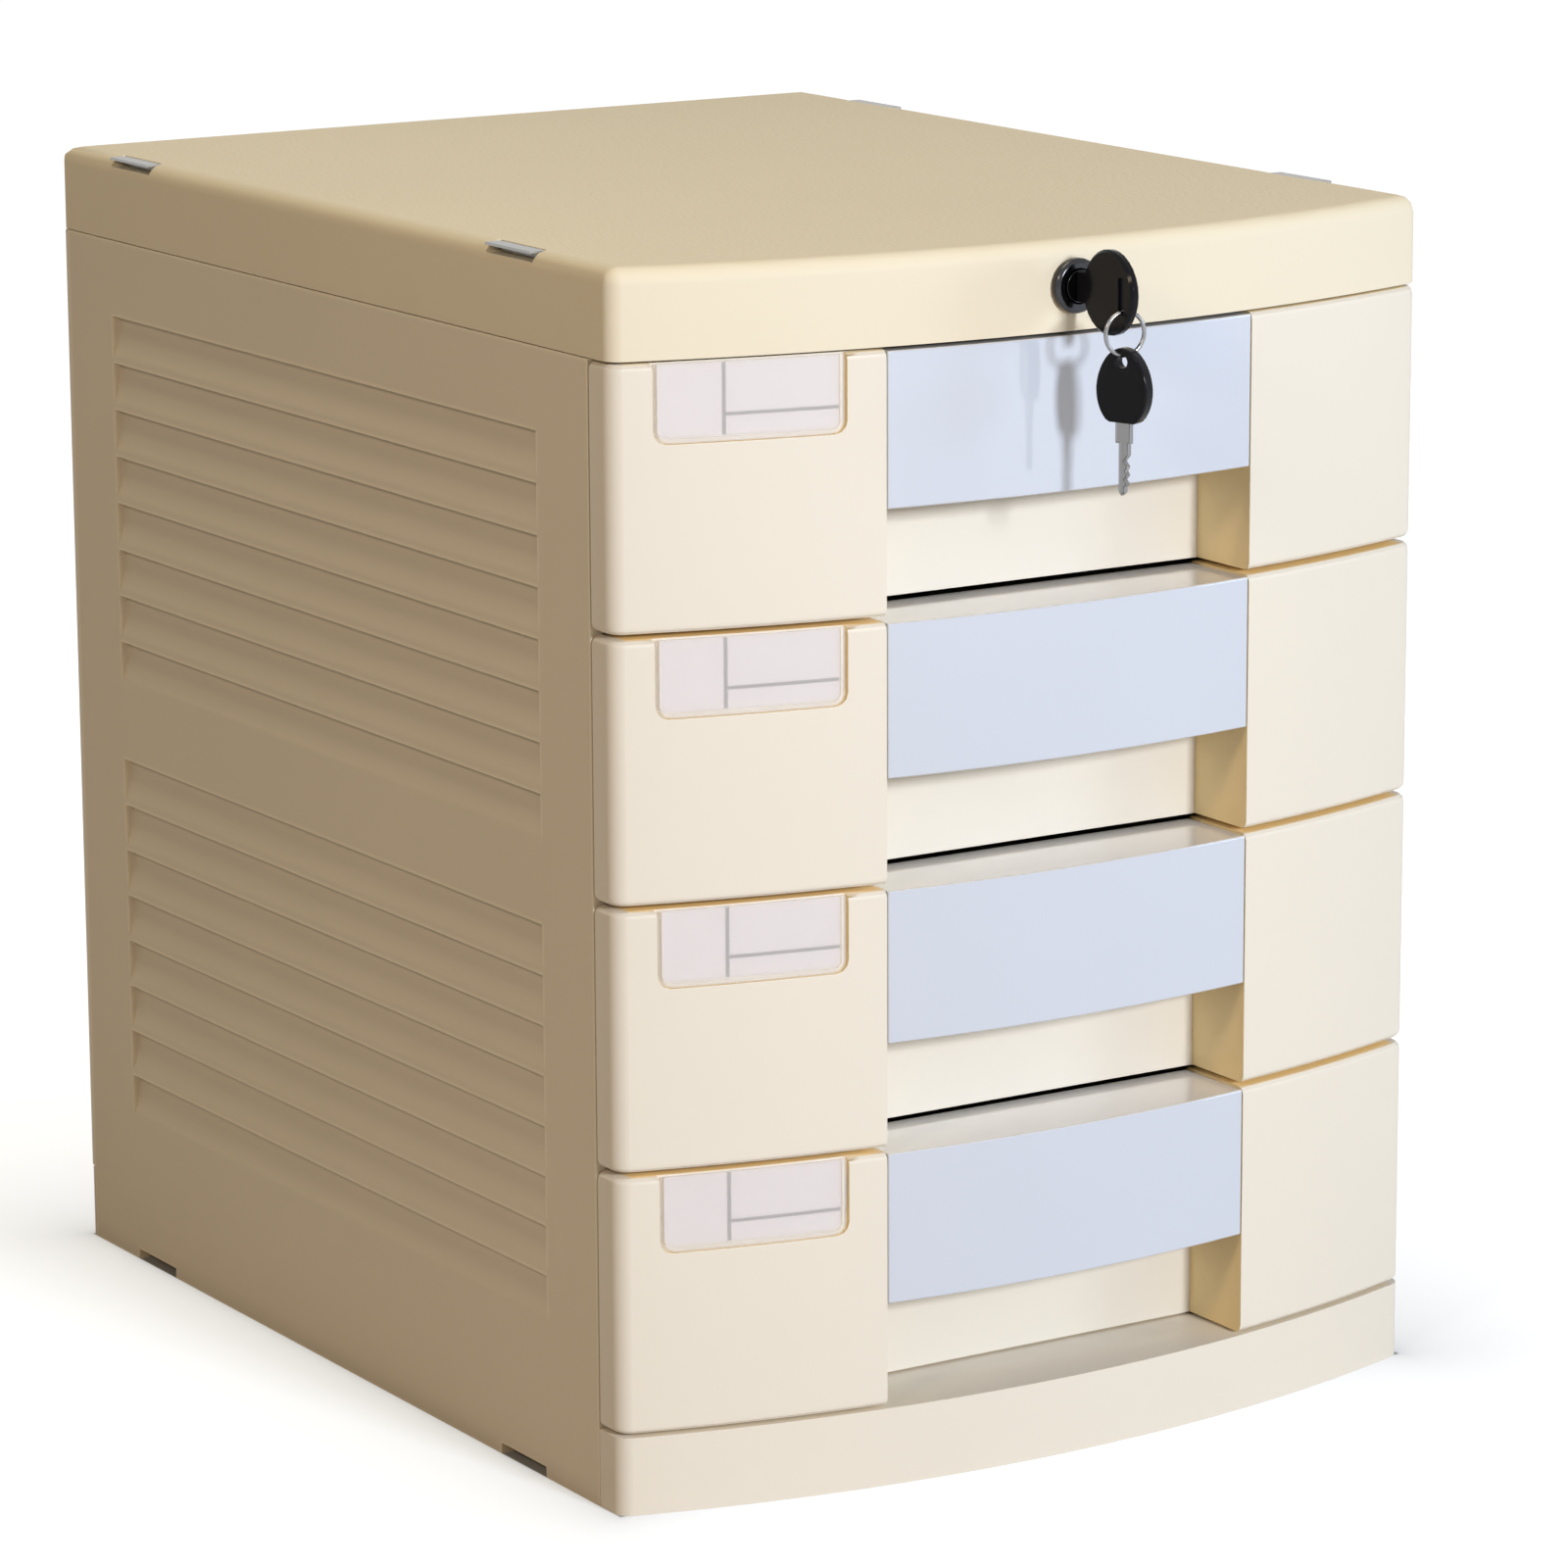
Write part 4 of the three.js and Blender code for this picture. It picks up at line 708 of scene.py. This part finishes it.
window_clear = bpy.data.materials.new("label_window_clear")
window_clear.use_nodes = True
window_nodes, window_links = window_clear.node_tree.nodes, window_clear.node_tree.links
window_surface = window_nodes["Principled BSDF"]
window_surface.inputs["Base Color"].default_value = (0.95, 0.93, 0.94, 1)
window_surface.inputs["IOR"].default_value = 1.49
window_surface.inputs["Alpha"].default_value = 0.3
window_place = window_nodes.new("ShaderNodeTexCoord")
window_smear = window_nodes.new("ShaderNodeTexNoise")
window_smear.inputs["Scale"].default_value = 90
window_smear.inputs["Detail"].default_value = 3
window_links.new(window_place.outputs["Object"], window_smear.inputs["Vector"])
window_haze = window_nodes.new("ShaderNodeMapRange")
window_haze.inputs["To Min"].default_value = 0.04
window_haze.inputs["To Max"].default_value = 0.1
window_links.new(window_smear.outputs["Fac"], window_haze.inputs["Value"])
window_links.new(window_haze.outputs["Result"], window_surface.inputs["Roughness"])


def printed_card():
    """Uncoated card, printed in grey with an upright rule and a level rule to the right of it."""
    finish = bpy.data.materials.new("printed_card")
    finish.use_nodes = True
    nodes, links = finish.node_tree.nodes, finish.node_tree.links
    surface = nodes["Principled BSDF"]
    surface.inputs["Roughness"].default_value = 0.75
    spread = nodes.new("ShaderNodeUVMap")
    spread.uv_map = "card"
    sides = nodes.new("ShaderNodeSeparateXYZ")
    links.new(spread.outputs["UV"], sides.inputs[0])

    def band(source, middle, half):
        """One where a coordinate lies within half a rule's width of its middle."""
        rule = nodes.new("ShaderNodeMath")
        rule.operation = "COMPARE"
        rule.inputs[1].default_value = middle
        rule.inputs[2].default_value = half
        links.new(source, rule.inputs[0])
        return rule.outputs[0]

    upright = band(sides.outputs["X"], 0.36, 0.011)
    level = band(sides.outputs["Y"], 0.285, 0.026)
    beyond = nodes.new("ShaderNodeMath")
    beyond.operation = "GREATER_THAN"
    beyond.inputs[1].default_value = 0.36
    links.new(sides.outputs["X"], beyond.inputs[0])
    level_part = nodes.new("ShaderNodeMath")
    level_part.operation = "MULTIPLY"
    links.new(level, level_part.inputs[0])
    links.new(beyond.outputs[0], level_part.inputs[1])
    rules = nodes.new("ShaderNodeMath")
    rules.operation = "MAXIMUM"
    links.new(upright, rules.inputs[0])
    links.new(level_part.outputs[0], rules.inputs[1])
    place = nodes.new("ShaderNodeTexCoord")
    fibres = nodes.new("ShaderNodeTexNoise")
    fibres.inputs["Scale"].default_value = 900
    links.new(place.outputs["Object"], fibres.inputs["Vector"])
    paper = nodes.new("ShaderNodeMix")
    paper.data_type = "RGBA"
    paper.inputs[6].default_value = (0.83, 0.785, 0.825, 1)
    paper.inputs[7].default_value = (0.89, 0.84, 0.88, 1)
    links.new(fibres.outputs["Fac"], paper.inputs["Factor"])
    ink = nodes.new("ShaderNodeMix")
    ink.data_type = "RGBA"
    ink.inputs[7].default_value = (0.06, 0.055, 0.07, 1)
    links.new(rules.outputs[0], ink.inputs["Factor"])
    links.new(paper.outputs[2], ink.inputs[6])
    links.new(ink.outputs[2], surface.inputs["Base Color"])
    relief = nodes.new("ShaderNodeBump")
    relief.inputs["Strength"].default_value = 0.2
    relief.inputs["Distance"].default_value = 0.00003
    links.new(fibres.outputs["Fac"], relief.inputs["Height"])
    links.new(relief.outputs["Normal"], surface.inputs["Normal"])
    return finish


card_print = printed_card()
for n in drawer_numbers:
    drawer = f"drawer_{n}"
    eased_copy(f"{drawer}_tray", f"drawer_tray_{n}", drawer, 0.0005, cream)
    eased_copy(f"{drawer}_catch", f"drawer_catch_{n}", drawer, 0.0003, zinc)
    eased_copy(
        f"{drawer}_front", f"drawer_front_{n}", drawer, 0.00045, front_cream
    )
    eased_copy(
        f"{drawer}_plate", f"handle_plate_{n}", drawer, 0.0006, pale_blue
    )
    eased_copy(
        f"{drawer}_window", f"label_window_{n}", drawer, 0.00015, window_clear
    )
    card = eased_copy(
        f"{drawer}_card", f"label_card_{n}", drawer, 0.00005, card_print
    )
    low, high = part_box(f"label_card_{n}")
    layout = card.data.uv_layers.new(name="card")
    for corner in card.data.loops:
        place = card.data.vertices[corner.vertex_index].co
        layout.data[corner.index].uv = (
            (place.x - low.x) / (high.x - low.x),
            (place.z - low.z) / (high.z - low.z),
        )
    for side in ("left", "right"):
        add_pan_head_screw(f"front_screw_{n}_{side}", drawer)
